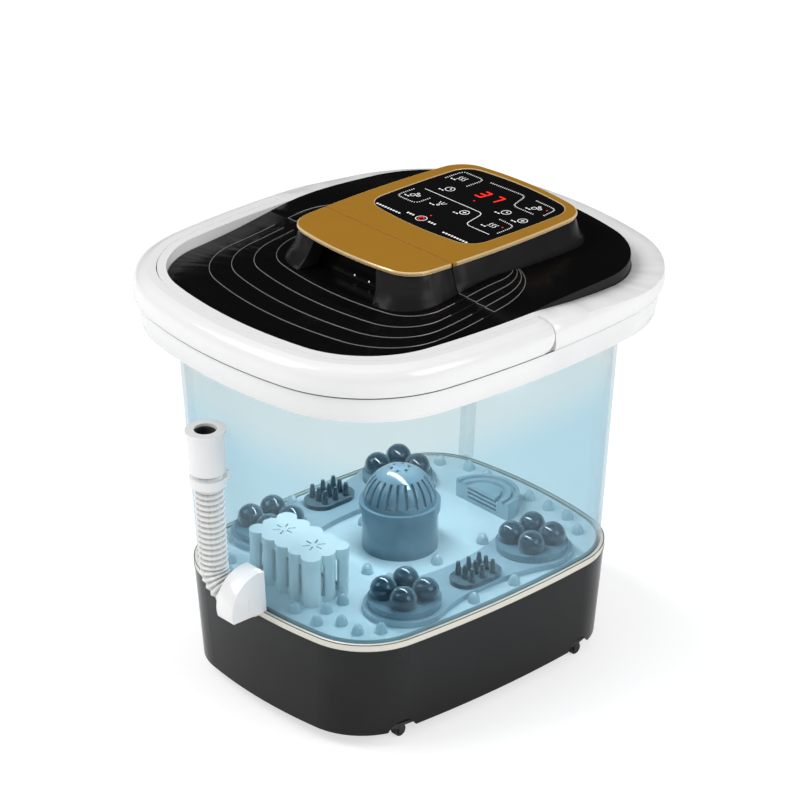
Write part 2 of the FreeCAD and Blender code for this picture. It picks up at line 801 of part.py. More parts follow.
def acupressure_pads():
    """Raised oval pads with upright studs, one for each arch of the foot."""
    for side, sign in (("left", "0 - "), ("right", "")):
        x = f"{sign}pad_x"
        low = ZONE_TOP
        pieces = [
            cylinder(f"pad_end_a_{side}", "zone_neck / 3", "bed_thickness", (x, "pad_y - spike_pitch", low)),
            cylinder(f"pad_end_b_{side}", "zone_neck / 3", "bed_thickness", (x, "pad_y + spike_pitch", low)),
            box(f"pad_mid_{side}", ("zone_neck / 1.5", "2 * spike_pitch", "bed_thickness"),
                (x, "pad_y", low)),
        ]
        for column in (-1, 0, 1):
            for line in (-1, 0, 1):
                at = (f"{x} + {column} * spike_pitch * 0.85", f"pad_y + {line} * spike_pitch * 1.2",
                      f"{low} + bed_thickness / 2")
                pieces.append(cone(f"spike_{side}{column + 1}{line + 1}", "spike_radius", "spike_radius / 2",
                                   "spike_height + bed_thickness / 2", at))
        node(fuse(f"acupressure_pad_{side}", *pieces))


def dome():
    """Central water outlet: round housing and slatted dome on its collar."""
    wall = cylinder("dome_tube", "dome_radius", "dome_height", ("0", "0", BED_TOP))
    collar = cylinder("dome_collar", "dome_radius + 2", "collar_height",
                      ("0", "0", f"{BED_TOP} + dome_height - collar_height"))
    bore = cylinder("dome_bore", "dome_radius - dome_wall", "dome_height + 2",
                    ("0", "0", f"{BED_TOP} + dome_wall"))
    node(cut("dome_housing", fuse("dome_outside", wall, collar), bore))
    level = f"{BED_TOP} + dome_height"
    shells = []
    for kind, radius in (("outer", "grille_radius"), ("inner", "grille_radius - dome_wall")):
        ball = doc.addObject("Part::Sphere", f"grille_{kind}")
        bind(ball, "Radius", radius)
        ball.Angle1 = 0
        shells.append(move(ball, "0", "0", level))
    slats = 22
    slots = []
    for index in range(slats):
        slot = doc.addObject("Part::Box", f"slot{index}")
        bind(slot, "Length", "grille_radius * 0.62")
        bind(slot, "Width", "slat_gap")
        bind(slot, "Height", "grille_radius * 0.66")
        turn = Rotation(Vector(0, 0, 1), 360.0 * index / slats)
        slot.Placement = Placement(turn.multVec(Vector(amount("grille_radius * 0.5"), 0, 0)), turn)
        bind(slot, "Placement.Base.z", f"{level} + dome_wall")
        slots.append(slot)
    holes = []
    for index in range(6):
        angle = math.radians(60 * index)
        holes.append(cylinder(f"dome_hole{index}", "slat_gap / 1.6", "grille_radius",
                              (f"grille_radius * {0.24 * math.cos(angle):.4f}",
                               f"grille_radius * {0.24 * math.sin(angle):.4f}", f"{level} + dome_wall")))
    node(cut("dome_grille", shells[0], shells[1], *slots, *holes))


def jet_cover():
    """Half-round water jet outlet with stepped arcs on top and slots in its flat face."""
    disc = cylinder("jet_disc", "jet_radius", "jet_height", ("0", "jet_y", BED_TOP))
    steps = []
    for index, (outer, inner) in enumerate(((0.9, 0.78), (0.64, 0.5))):
        ring = cylinder(f"jet_groove{index}", f"jet_radius * {outer}", "jet_height",
                        ("0", "jet_y", f"{BED_TOP} + jet_height - 3"))
        core = cylinder(f"jet_core{index}", f"jet_radius * {inner}", "jet_height",
                        ("0", "jet_y", f"{BED_TOP} + jet_height - 3"))
        steps.append(cut(f"jet_step{index}", ring, core))
    slots = [
        box(f"jet_slot{index}", ("jet_radius * 1.1", "jet_radius / 2", "2"),
            ("0", "jet_y", f"{BED_TOP} + 4 + {index * 4}"))
        for index in range(3)
    ]
    return node(cut("jet_cover", disc, front_of("jet_front", "jet_y"), *steps, *slots))


def herb_columns(name, level, height, grow="0"):
    """Block with rounded columns all round: five along each side and three across."""
    body = box(f"{name}_body", (f"4 * herb_pitch_x + herb_column_radius + {grow}",
                                f"2 * herb_pitch_y + herb_column_radius + {grow}", height),
               ("herb_x", "herb_y", level))
    columns = [
        cylinder(f"{name}_column{i + 2}{j + 1}", f"herb_column_radius + {grow}", height,
                 (f"herb_x + {i} * herb_pitch_x", f"herb_y + {j} * herb_pitch_y", level))
        for i in range(-2, 3) for j in range(-1, 2) if abs(i) == 2 or abs(j) == 1
    ]
    return fuse(f"{name}_block", body, *columns)


def herb_box():
    """Fluted box for herbs, slotted between its columns, with a lift-out cover that has two star vents."""
    outside = herb_columns("herb", BED_TOP, "herb_height")
    inside = box("herb_inside", ("4 * herb_pitch_x + herb_column_radius - herb_wall / 3",
                                 "2 * herb_pitch_y + herb_column_radius - herb_wall / 3", "herb_height"),
                 ("herb_x", "herb_y", f"{BED_TOP} + herb_wall"))
    slots = []
    slot_low = f"{BED_TOP} + 2 * herb_wall"
    slot_height = "herb_height - 3 * herb_wall"
    for index in range(4):
        slots.append(box(f"herb_slot{index}", ("herb_slot", "2 * herb_depth", slot_height),
                         (f"herb_x + {index - 1.5} * herb_pitch_x", "herb_y", slot_low)))
    for index in range(2):
        slots.append(box(f"herb_end_slot{index}", ("2 * herb_length", "herb_slot", slot_height),
                         ("herb_x", f"herb_y + {index - 0.5} * herb_pitch_y", slot_low)))
    node(cut("herb_box", outside, inside, *slots))
    cover_low = f"{BED_TOP} + herb_height + seat_gap"
    cover = herb_columns("cover", cover_low, "herb_cover_height", "0.4")
    vents = []
    for side in (-1, 1):
        for index in range(6):
            vent = doc.addObject("Part::Box", f"vent{side + 1}{index}")
            bind(vent, "Length", "herb_depth / 7")
            vent.Width = 1.6
            bind(vent, "Height", "2 * herb_cover_height")
            turn = Rotation(Vector(0, 0, 1), 60.0 * index)
            start = turn.multVec(Vector(3.2, -0.8, 0))
            vent.Placement = Placement(start, turn)
            bind(vent, "Placement.Base.x", f"herb_x + {side} * herb_length / 4.4 + {start.x:.4f}")
            bind(vent, "Placement.Base.y", f"herb_y + {start.y:.4f}")
            bind(vent, "Placement.Base.z", f"{cover_low} - 1")
            vents.append(vent)
    return node(cut("herb_box_cover", cover, *vents))


# ---------------------------------------------------------------- rim and handle


def crown(name):
    """Rim body above the shelf: rounded outer edge from the seam to the top."""
    body = new_body(name)
    profile = ((0.0, 1.6), (0.12, 0.4), (0.3, 0.0), (0.62, 0.7), (0.84, 3.0), (0.95, 7.0), (1.0, 12.0))
    sections = []
    for index, (rise, inset) in enumerate(profile):
        level = f"{SHELF_TOP} + rim_height * {rise}"
        sections.append(outline(body, f"{name}_{index}", RIM, level, f"- {inset}"))
    loft(body, f"{name}_loft", sections)
    return body


def rim_ring():
    """Fixed white rim: shelf, lower lip, inner wall and the raised rear half."""
    body = new_body("lip_body")
    loft(body, "lip_outside", [
        outline(body, "lip_low", RIM, f"{SHELF_TOP} - lip_height", "- lip_inset_low"),
        outline(body, "lip_high", RIM, SHELF_TOP, "- lip_inset_top"),
    ])
    loft(body, "lip_inside", [
        outline(body, "lip_low_inside", RIM, f"{SHELF_TOP} - lip_height", "- lip_inset_low - lip_wall"),
        outline(body, "lip_high_inside", RIM, SHELF_LOW, "- lip_inset_top - lip_wall"),
    ], "SubtractiveLoft")
    pocket(body, outline(body, "shelf_mouth", TUB, SHELF_TOP, "- tub_wall"), "2 * shelf_thickness")
    wall = prism("inner_wall", RIM, SHELF_TOP, "rim_height + 5", "- handle_width - seam_gap")
    rear = behind("rear_half", "handle_seam_y + seam_gap")
    standing = common("rim_standing", crown("rim_crown"), fuse("rim_upper", wall, rear))
    opening = prism("lid_opening", RIM, SHELF_TOP, "rim_height + 5", "- rim_width")
    seam = amount("handle_seam_y + seam_gap")
    top = amount(RIM_TOP)
    fall = seam + amount("rear_drop_length")
    rear_end = amount("rim_half_depth + 10")
    low = top - amount("rear_drop")
    line = [
        (seam - 60, top),
        (seam - 30, top),
        (seam, top),
        ((seam + fall) / 2, (top + low) / 2),
        (fall, low),
        (rear_end, low - 1),
    ]
    slope = cut("above_rear_slope", everywhere("rear_slope_all", SHELF_TOP, "rim_height + 5"),
                across_slab("rear_slope", line))
    rear_only = behind("rear_only", "handle_seam_y + seam_gap")
    upper = cut("rim_above", standing, opening, common("rear_cut", slope, rear_only))
    bores = pivot_rods("rim_bore", "pivot_radius + run_gap")
    bores += rim_screw_holes("shelf_hole", "screw_radius")
    return node(cut("rim_ring", fuse("rim_whole", body, upper), *bores))


def pivot_rods(name, radius, short="0"):
    """Two level rods on the handle's hinge line, through handle and inner wall."""
    rods = []
    starts = (("left", "0 - rim_half_width + handle_wall"), ("right", "rim_half_width - rim_width + 2"))
    for side, x in starts:
        rods.append(cylinder(f"{name}_{side}", radius, f"rim_width - 2 - handle_wall - 2 * {short}",
                             (f"{x} + {short}", PIVOT_Y, PIVOT_LEVEL), "X"))
    return rods


def carry_handle():
    """U-shaped carry handle: the front half of the rim, hollow from below."""
    inner = prism("handle_inside", RIM, SHELF_TOP, "rim_height + 5", "- handle_width")
    front = common("handle_front", crown("handle_crown"), front_of("front_half", "handle_seam_y"))
    blank = cut("handle_blank", front,
                inner, everywhere("handle_lift", f"{SHELF_TOP} - 1", "1 + seat_gap * 2"))
    channel = prism("channel_outer", RIM, f"{SHELF_TOP} - 1", "rim_height - 4", "- handle_wall")
    core = prism("channel_core", RIM, f"{SHELF_TOP} - 1", "rim_height", "- handle_width + handle_wall / 2")
    hollow = common("channel_front", cut("channel", channel, core),
                    front_of("channel_half", f"{PIVOT_Y} - 20"))
    corner_y = "handle_seam_y - handle_end_radius"
    corner_level = f"{SHELF_TOP} + handle_end_radius"
    square = box("heel_square", ("4 * rim_half_width", "handle_end_radius", "handle_end_radius"),
                 ("0", "handle_seam_y - handle_end_radius / 2", f"{SHELF_TOP}"))
    round_off = cylinder("heel_round", "handle_end_radius", "4 * rim_half_width",
                         ("0 - 2 * rim_half_width", corner_y, corner_level), "X")
    heel = cut("heel_cut", square, round_off)
    upper = box("heel_upper", ("4 * rim_half_width", "pivot_setback + 1", "pivot_drop + 1"),
                ("0", f"{PIVOT_Y} + ( pivot_setback + 1 ) / 2", PIVOT_LEVEL))
    sweep = cylinder("heel_sweep", "pivot_setback", "4 * rim_half_width",
                     ("0 - 2 * rim_half_width", PIVOT_Y, PIVOT_LEVEL), "X")
    bores = pivot_rods("handle_bore", "pivot_radius + run_gap")
    node(cut("carry_handle", blank, hollow, heel, cut("heel_top", upper, sweep), *bores))
    return node(group("handle_pins", *pivot_rods("handle_pin", "pivot_radius", "seat_gap")))


# ---------------------------------------------------------------- lid and console


def lid_surface(name, rise, fade=False):
    """Block under the lid's smooth top: low in front, up a ramp at the seam, and rising to the rear."""
    base = amount(LID_TOP)
    ramp = base + amount("lid_ramp_rise")
    end = amount("rim_half_depth")
    front = -amount("lid_ramp_front")
    back = amount("lid_ramp_back")
    ridge_end = amount("ridge_back")
    line = [
        (-end, base + rise),
        (1.8 * front, base + rise),
        (front, base + 0.1 * amount("lid_ramp_rise") + rise),
        ((front + back) / 2, (base + ramp) / 2 + rise),
        (back, ramp + (0.8 * rise if fade else rise)),
        (ridge_end, ramp + amount("lid_tail_rise / 4") + (-0.2 if fade else rise)),
        (end, ramp + amount("lid_tail_rise") + (-0.2 if fade else rise)),
    ]
    return across_slab(name, line)


def lid_blank(name):
    """Outside form of lid and console in one: smooth plate, four low terraces and the flared pod."""
    plate = prism(f"{name}_plate", RIM, LID_LOW, "rim_height + pod_height", "- rim_width - seam_gap")
    parts = [common(f"{name}_top", plate, lid_surface(f"{name}_surface", 0.0))]
    for index in range(4):
        shape = (
            f"ridge_half_width - {index} * ridge_side_step",
            f"ridge_front / 2 + ridge_back / 2 - {index} * ridge_front_step / 2",
            "pod_side_radius",
            "pod_end_radius",
            f"ridge_corner_radius - {index} * ridge_corner_step",
        )
        shift = f"ridge_back / 2 - ridge_front / 2 + {index} * ridge_front_step / 2"
        terrace = prism(f"{name}_ridge{index}", shape, LID_LOW, "rim_height + pod_height", "", shift)
        rise = amount("ridge_rise") * (index + 1)
        surface = lid_surface(f"{name}_rise{index}", rise, True)
        parts.append(common(f"{name}_terrace{index}", terrace, surface))
    body = new_body(f"{name}_pod")
    sections = [
        outline(body, f"{name}_pod_low", POD, f"{LID_TOP} - 1", "+ pod_spread_low"),
        outline(body, f"{name}_pod_mid", POD, f"{LID_TOP} + pod_mid_rise", "+ pod_spread_mid"),
        outline(body, f"{name}_pod_neck", POD, f"{LID_TOP} + 2 * pod_mid_rise", "+ pod_spread_mid / 2"),
        outline(body, f"{name}_pod_top", POD, POD_TOP),
    ]
    loft(body, f"{name}_pod_loft", sections)
    parts.append(move(body, "0", "pod_y", "0"))
    return fuse(f"{name}_form", *parts)


def lid_hollow(name, half):
    """Space inside lid or console, kept to one side of the seam."""
    plate = prism(f"{name}_plate_space", RIM, f"{LID_LOW} - 1", "rim_height + pod_height",
                  "- rim_width - seam_gap - lid_wall")
    under = common(f"{name}_plate_under", plate, lid_surface(f"{name}_under", -amount("lid_wall")))
    pod = prism(f"{name}_pod_space", POD, f"{LID_LOW} - 1", "lid_height + 1 + pod_height - lid_wall",
                "- lid_wall", "pod_y")
    return common(f"{name}_space", fuse(f"{name}_spaces", under, pod), half)


def lid_and_console():
    """Front lid that lifts off, and the fixed console behind the seam, with their gold bezels."""
    rear_seam = "lid_seam_y + seam_gap"
    grip_low = f"{LID_TOP} + grip_foot"
    grip_back = f"{POD_FRONT} + grip_depth"
    grip_ahead = f"{POD_FRONT} - 4 * grip_depth"
    grip_foot_half = "grip_half_width + grip_spread"
    recess = flared_block("grip_recess", grip_foot_half, "grip_half_width", grip_low, POD_TOP,
                          grip_ahead, grip_back)
    front = common("lid_front", lid_blank("lid"), front_of("lid_half", "lid_seam_y"))
    cavity = lid_hollow("lid", front_of("lid_inside_half", "lid_seam_y - lid_wall"))
    guard = flared_block("grip_guard", f"{grip_foot_half} + 2 * lid_wall", "grip_half_width + 2 * lid_wall",
                         f"{grip_low} - lid_wall", f"{POD_TOP} + lid_wall",
                         grip_ahead, f"{grip_back} + lid_wall")
    node(cut("front_lid", front, cut("lid_cavity", cavity, guard), recess))
    liner = flared_block("liner", f"{grip_foot_half} - seat_gap", "grip_half_width - seat_gap",
                         f"{grip_low} + seat_gap", f"{POD_TOP} - seat_gap",
                         f"{grip_back} - lid_wall", f"{grip_back} - seat_gap")
    dish_at = ("0 - 2 * grip_half_width", f"{grip_back} - lid_wall / 2 - 2 * grip_depth",
               f"{POD_TOP} - pod_height / 2")
    dish = cylinder("liner_dish", "2 * grip_depth", "4 * grip_half_width", dish_at, "X")
    node(cut("lid_grip", liner, dish))
    back = common("console_back", lid_blank("console"), behind("console_half", rear_seam))
    window = prism("panel_window", PANEL, f"{POD_TOP} - 2 * lid_wall", "4 * lid_wall",
                   "+ seat_gap - lid_wall", "panel_y")
    inside = lid_hollow("console", behind("console_inside_half", f"{rear_seam} + lid_wall"))
    node(cut("console_body", back, inside, window))
    floor = prism("console_floor", RIM, LID_LOW, "lid_wall - seat_gap",
                  "- rim_width - seam_gap - lid_wall - seat_gap")
    node(common("console_base", floor, behind("console_floor_half", f"{rear_seam} + lid_wall + seat_gap")))
    bezel_gap = "seat_gap / 3"
    for name, half, keep in (("lid_bezel", front_of("bezel_front", "lid_seam_y"), None),
                             ("console_bezel", behind("bezel_rear", rear_seam), "window")):
        plate = prism(f"{name}_plate", POD, f"{POD_TOP} + {bezel_gap}", f"bezel_thickness - {bezel_gap}",
                      "+ 0.8", "pod_y")
        piece = common(f"{name}_half", plate, half) if keep else common(name, plate, half)
        if keep:
            piece = cut(name, piece, prism("bezel_window", PANEL, POD_TOP, "2 * bezel_thickness",
                                           "+ seat_gap", "panel_y"))
        node(piece)
    node(prism("touch_panel", PANEL, f"{POD_TOP} + seat_gap / 3", "panel_thickness", "", "panel_y"))
    board = box("board_plate", ("2 * panel_half_width + 3 * lid_wall", "2 * panel_half_depth - 12 * lid_wall",
                                "board_thickness"), ("0", "panel_y", f"{POD_TOP} - 5 * lid_wall"))
    corners = [
        (f"0 {sx} panel_half_width {sx} lid_wall / 2", f"panel_y {sy} panel_half_depth {back} 7 * lid_wall")
        for sx in "+-" for sy, back in (("+", "-"), ("-", "+"))
    ]
    posts = [
        cylinder(f"board_post{index}", "lid_wall", "4 * lid_wall", (x, y, f"{POD_TOP} - 5 * lid_wall"))
        for index, (x, y) in enumerate(corners)
    ]
    screen = box("screen_block", ("panel_half_width", "panel_half_depth / 2", "3 * lid_wall"),
                 ("0", "panel_y + panel_half_depth / 3", f"{POD_TOP} - 5 * lid_wall"))
    return node(fuse("control_board", board, screen, *posts))


# ---------------------------------------------------------------- casters


def caster_places():
    """Swivel centres of the four casters."""
    for x in ("0 - caster_x", "caster_x"):
        for y in ("0 - caster_y", "caster_y"):
            yield x, y


def casters():
    """Four swivel casters: fork with stem and axle pin, and its wheel."""
    names = ("front_left", "rear_left", "front_right", "rear_right")
    for name, (x, y) in zip(names, caster_places()):
        axle_y = f"{y} + caster_trail"
        crown_low = f"{PLATE_LOW} - seat_gap - fork_thickness"
        top = cylinder(f"fork_top_{name}", "2.6 * stem_radius", "fork_thickness", (x, y, crown_low))
        stem = cylinder(f"stem_{name}", "stem_radius", "stem_height + fork_thickness", (x, y, crown_low))
        ears = []
        for side in ("-", "+"):
            ear_x = f"{x} {side} ( wheel_width / 2 + seat_gap + fork_thickness / 2 )"
            ear_size = ("fork_thickness", "4 * axle_radius", f"{crown_low} - wheel_radius + 2 * axle_radius")
            ears.append(box(f"ear_{name}_{'a' if side == '-' else 'b'}", ear_size,
                            (ear_x, axle_y, "wheel_radius - 1.6 * axle_radius")))
        axle = cylinder(f"axle_{name}", "axle_radius", "wheel_width + 2 * seat_gap + 2 * fork_thickness",
                        (f"{x} - wheel_width / 2 - seat_gap - fork_thickness", axle_y, "wheel_radius"), "X")
        node(fuse(f"caster_fork_{name}", top, stem, *ears, axle))
        tread = cylinder(f"tread_{name}", "wheel_radius", "wheel_width", (f"{x} - wheel_width / 2", axle_y,
                                                                         "wheel_radius"), "X")
        bore = cylinder(f"wheel_bore_{name}", "axle_radius + run_gap", "wheel_width + 2",
                        (f"{x} - wheel_width / 2 - 1", axle_y, "wheel_radius"), "X")
        node(cut(f"caster_wheel_{name}", tread, bore))


# ---------------------------------------------------------------- drain hose


def hose_route():
    """Points and directions along the hose's centre line, every half rib."""
    half_pitch = amount("hose_rib_pitch") / 2
    wall = amount("base_half_depth")
    level = amount(f"{BASE_TOP} + hose_low + hose_bend")
    top = Vector(amount("hose_x"), -wall - amount("hose_offset"), level)
    lean = Vector(0, -amount("tub_half_depth - base_half_depth"), amount("tub_height")).normalize()
    turn = math.radians(amount("hose_turn_angle"))
    ahead = Vector(math.cos(turn), math.sin(turn), 0)
    route = []
    steps = int(amount("hose_run_length") / half_pitch)
    for index in range(steps, 0, -1):
        route.append((top + lean * (index * half_pitch), lean * -1))
    bend = amount("hose_bend")
    turns = int(bend * math.pi / 2 / half_pitch)
    for index in range(turns + 1):
        angle = math.pi / 2 * index / turns
        point = top + ahead * (bend * (1 - math.cos(angle))) - Vector(0, 0, bend * math.sin(angle))
        route.append((point, ahead * math.sin(angle) - Vector(0, 0, math.cos(angle))))
    bend_end = route[-1][0]
    for index in range(1, int(amount("hose_tail") / half_pitch) + 1):
        route.append((bend_end + ahead * (index * half_pitch), ahead))
    return route, top, lean, ahead


def ring_wire(point, along, radius):
    """Circle across the hose."""
    return Part.Wire([Part.Edge(Part.Circle(point, along, radius))])


def drain_hose():
    """Corrugated hose from the hood beside the base up to its end fitting."""
    route, top, lean, ahead = hose_route()
    wires = []
    for index, (point, along) in enumerate(route):
        radius = amount("hose_radius") - (amount("hose_rib_depth") if index % 2 else 0.0)
        wires.append(ring_wire(point, along, radius))
    outside = Part.makeLoft(wires, True, True)
    start = route[0][0]
    bend = amount("hose_bend")
    bend_end = top + ahead * bend - Vector(0, 0, bend)
    mid_way = math.sqrt(0.5) * bend
    middle = top + ahead * (bend - mid_way) - Vector(0, 0, mid_way)
    straight = Part.makeCylinder(amount("hose_bore"), (start - top).Length, top, lean)
    arc = Part.Wire([Part.Arc(top, middle, bend_end).toShape()])
    elbow = arc.makePipeShell([ring_wire(top, Vector(0, 0, -1), amount("hose_bore"))], True, False)
    tail = Part.makeCylinder(amount("hose_bore"), amount("hose_tail"), bend_end, ahead)
    thing = doc.addObject("Part::Feature", "drain_hose")
    thing.Shape = outside.cut(straight).cut(elbow).cut(tail).cut(tub_outside_shape())
    node(thing)
    fitting = Part.makeCylinder(amount("cap_radius"), amount("cap_height"), start, lean)
    throat = Part.makeCylinder(amount("cap_bore"), amount("cap_height + 2"), start - lean, lean)
    lip = start + lean * amount("cap_height - cap_lip")
    flange = Part.makeCylinder(amount("cap_radius + cap_lip / 2"), amount("cap_lip"), lip, lean)
    cap = doc.addObject("Part::Feature", "hose_end_fitting")
    cap.Shape = fitting.fuse(flange).cut(throat)
    node(cap)
    clip = doc.addObject("Part::Feature", "hose_clip")
    hold = start - lean * (2.5 * amount("hose_rib_pitch"))
    height = amount("clip_height")
    ring = Part.makeCylinder(amount("hose_radius + clip_wall"), height, hold, lean)
    arm_corner = hold - Vector(amount("clip_width / 2"), 0, 0)
    arm = Part.makeBox(amount("clip_width"), amount("clip_reach"), height, arm_corner)
    hose_space = Part.makeCylinder(amount("hose_radius + seat_gap"), 2 * height,
                                   hold - lean * (height / 2), lean)
    clip.Shape = ring.fuse(arm).cut(hose_space).cut(tub_outside_shape())
    node(clip)


def tub_outside_shape():
    """Solid envelope of the tub wall, a seat gap larger, for pieces that lie against it."""
    doc.recompute()
    return doc.getObject("tub_envelope").Shape


def tub_envelope():
    """Helper body: outside of the tub plus the seat gap."""
    body = new_body("tub_envelope")
    loft(body, "envelope_loft", [
        outline(body, "envelope_foot", BASE, BASE_TOP, "- trim_width"),
        outline(body, "envelope_head", TUB, TUB_TOP, "+ seat_gap"),
    ])
    return body


def drain_collar(envelope):
    """Arched hood over the hose's lower end, with the spigot that the hose is pushed on."""
    route = hose_route()[0]
    end, ahead = route[-1]
    level = f"{TRIM_TOP} + hood_rise"
    y = "0 - base_half_depth - hood_out"
    reach = end.x + amount("hose_radius") * ahead.y
    open_x = f"{reach:.3f} - hood_width + hood_wall + seat_gap"
    outer = cylinder("hood_outer", "hood_radius", "hood_width", (open_x, y, level), "X")
    inner = cylinder("hood_inner", "hood_radius - hood_wall", "hood_width - hood_wall",
                     (open_x, y, level), "X")
    spigot = doc.addObject("Part::Cylinder", "spigot")
    bind(spigot, "Radius", "hose_bore - run_gap")
    bind(spigot, "Height", "12 + hood_wall")
    facing = Rotation(Vector(0, 0, 1), ahead)
    spigot.Placement = Placement(end - ahead * 10, facing)
    under = everywhere("hood_under", "0", f"{TRIM_TOP} + seat_gap")
    whole = fuse("hood_whole", cut("hood_arch", outer, inner), spigot)
    return node(cut("drain_collar", whole, under, envelope))


# ---------------------------------------------------------------- works inside the base


def works():
    """Pump, heater, air pump, boards, pipe and inlet that stand on the bottom cover."""
    level = PLATE_TOP
    body = cylinder("pump_body", "pump_radius", "pump_height", ("0", "pump_y", level))
    foot = box("pump_foot", ("2 * pump_radius + 14", "pump_radius", "4"), ("0", "pump_y", level))
    spout = cylinder("pump_spout", "pipe_radius + 2", "pump_radius + 10",
                     ("0", "pump_y", f"{level} + pump_height / 2"), "Y")
    bore = cylinder("pump_bore", "pipe_radius + run_gap", "14", ("0", "pump_y + pump_radius - 2",
                                                                f"{level} + pump_height / 2"), "Y")
    node(cut("circulation_pump", fuse("pump_whole", body, foot, spout), bore))
    heater_at = ("0 - heater_length / 2", "heater_y", f"{level} + heater_level")
    tank = cylinder("heater_tank", "heater_radius", "heater_length", heater_at, "X")
    feet = [
        box(f"heater_foot{index}", ("6", "1.4 * heater_radius", "heater_level"), (x, "heater_y", level))
        for index, x in enumerate(("0 - heater_length / 3", "heater_length / 3"))
    ]
    port = cylinder("heater_port", "pipe_radius + 2", "heater_radius + 8",
                    ("0", "heater_y - heater_radius - 8", f"{level} + pump_height / 2"), "Y")
    port_bore = cylinder("heater_bore", "pipe_radius + run_gap", "12",
                         ("0", "heater_y - heater_radius - 10", f"{level} + pump_height / 2"), "Y")
    node(cut("heater", fuse("heater_whole", tank, port, *feet), port_bore))
    node(box("thermostat", ("16", "10", "5"), ("0", "heater_y", f"{level} + heater_level + heater_radius")))
    start = "pump_y + pump_radius + 2"
    node(cylinder("water_pipe", "pipe_radius", "heater_y - heater_radius - pump_y - pump_radius - 6",
                  ("0", start, f"{level} + pump_height / 2"), "Y"))
    for side, x in (("air_pump", "0 - 45"), ("power_board", "45")):
        if side == "air_pump":
            case = box("air_case", ("air_length / 2", "air_depth", "air_height"), (x, "0", level))
            nozzle = cylinder("air_nozzle", "4", "air_height + 12", (x, "0", level))
            node(fuse(side, case, nozzle))
        else:
            setup = f"{level} + board_setup"
            board = box("power_plate", ("air_length / 2", "2 * board_leg_y + board_leg_x", "board_thickness"),
                        (x, "0", setup))
            coil = box("transformer", ("coil_length", "coil_depth", "coil_height"),
                       (x, "coil_depth / 2.5", setup))
            relay = box("relay", ("relay_length", "relay_depth", "relay_length"),
                        (x, "0 - relay_depth", setup))
            legs = [
                cylinder(f"leg{index}", "stem_radius", "board_setup",
                         (f"{x} {dx} board_leg_x", f"0 {dy} board_leg_y", level))
                for index, (dx, dy) in enumerate((("-", "-"), ("+", "-"), ("-", "+"), ("+", "+")))
            ]
            node(fuse(side, board, coil, relay, *legs))
    gland = cylinder("gland", "inlet_radius", "14", ("inlet_x", "base_half_depth - 12",
                                                    f"{BASE_LOW} + base_height / 2"), "Y")
    flange = cylinder("gland_flange", "inlet_radius + 3", "2", ("inlet_x", "base_half_depth - 12",
                                                               f"{BASE_LOW} + base_height / 2"), "Y")
    hole = cylinder("gland_hole", "3.5", "20", ("inlet_x", "base_half_depth - 14",
                                                f"{BASE_LOW} + base_height / 2"), "Y")
    return node(cut("power_inlet", fuse("gland_whole", gland, flange), hole))


def wiring_duct(envelope):
    """Slim channel up the rear wall that carries the console's wires."""
    bar = box("duct_bar", ("duct_width", "tub_half_depth - base_half_depth + 8 * duct_depth",
                           "tub_height - trim_height - tub_floor - 2 * seat_gap"),
              ("duct_x", "tub_half_depth / 2 + base_half_depth / 2", f"{TRIM_TOP} + seat_gap"))
    outer = new_body("duct_envelope")
    loft(outer, "duct_loft", [
        outline(outer, "duct_foot", BASE, BASE_TOP, "- trim_width + duct_depth"),
        outline(outer, "duct_head", TUB, TUB_TOP, "+ duct_depth"),
    ])
    return node(cut("wiring_duct", common("duct_slice", bar, outer), envelope))


def build():
    """Builds every piece in order, from the floor up."""
    base_shell()
    base_plate()
    base_screws()
    trim_band()
    tub_shell()
    footbed()
    foot_zones()
    floor_nubs()
    massage_stations()
    acupressure_pads()
    dome()
    jet_cover()
    herb_box()
    rim_ring()
    rim_screws()
    carry_handle()
    lid_and_console()
    casters()
    envelope = tub_envelope()
    drain_collar(envelope)
    wiring_duct(envelope)
    works()
    drain_hose()
    doc.recompute()


def check():
    """Stops if a feature failed or a piece is empty or broken."""
    failed = [thing.Name for thing in doc.Objects if "Invalid" in thing.State or "Error" in thing.State]
    if failed:
        raise RuntimeError(f"failed features: {failed}")
    for thing in NODES:
        if thing.Shape.isNull() or not thing.Shape.isValid() or not thing.Shape.Solids:
            raise RuntimeError(f"broken piece: {thing.Label}")


def write():
    """Writes one STEP file for each piece."""
    os.makedirs("parts", exist_ok=True)
    for thing in NODES:
        thing.Shape.exportStep(f"parts/{thing.Label}.step")


build()
check()
write()
print(len(NODES), "pieces")
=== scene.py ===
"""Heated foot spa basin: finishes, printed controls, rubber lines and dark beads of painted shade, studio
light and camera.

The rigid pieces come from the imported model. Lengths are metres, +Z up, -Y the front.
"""

import logging
import math
from dataclasses import dataclass, field
from enum import Enum
from functools import partial
from typing import Callable

import bmesh
import bpy
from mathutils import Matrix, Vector


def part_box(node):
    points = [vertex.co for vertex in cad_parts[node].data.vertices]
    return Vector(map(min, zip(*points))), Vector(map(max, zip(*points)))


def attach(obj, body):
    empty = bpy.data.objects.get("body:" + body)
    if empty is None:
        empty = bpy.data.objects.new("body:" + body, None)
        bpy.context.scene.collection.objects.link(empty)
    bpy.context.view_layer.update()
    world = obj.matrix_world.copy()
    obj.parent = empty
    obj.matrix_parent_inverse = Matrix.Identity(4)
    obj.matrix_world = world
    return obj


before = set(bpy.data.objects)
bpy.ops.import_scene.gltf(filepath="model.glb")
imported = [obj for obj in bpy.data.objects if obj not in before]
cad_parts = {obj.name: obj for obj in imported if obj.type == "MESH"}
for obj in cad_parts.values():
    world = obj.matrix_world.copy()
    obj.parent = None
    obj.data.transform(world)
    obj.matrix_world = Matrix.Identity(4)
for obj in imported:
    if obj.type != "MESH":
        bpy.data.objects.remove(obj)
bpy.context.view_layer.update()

MM = 0.001
Colour = tuple[float, float, float]
Point = tuple[float, float, float]
Span = tuple[float, float]
Socket = bpy.types.NodeSocket
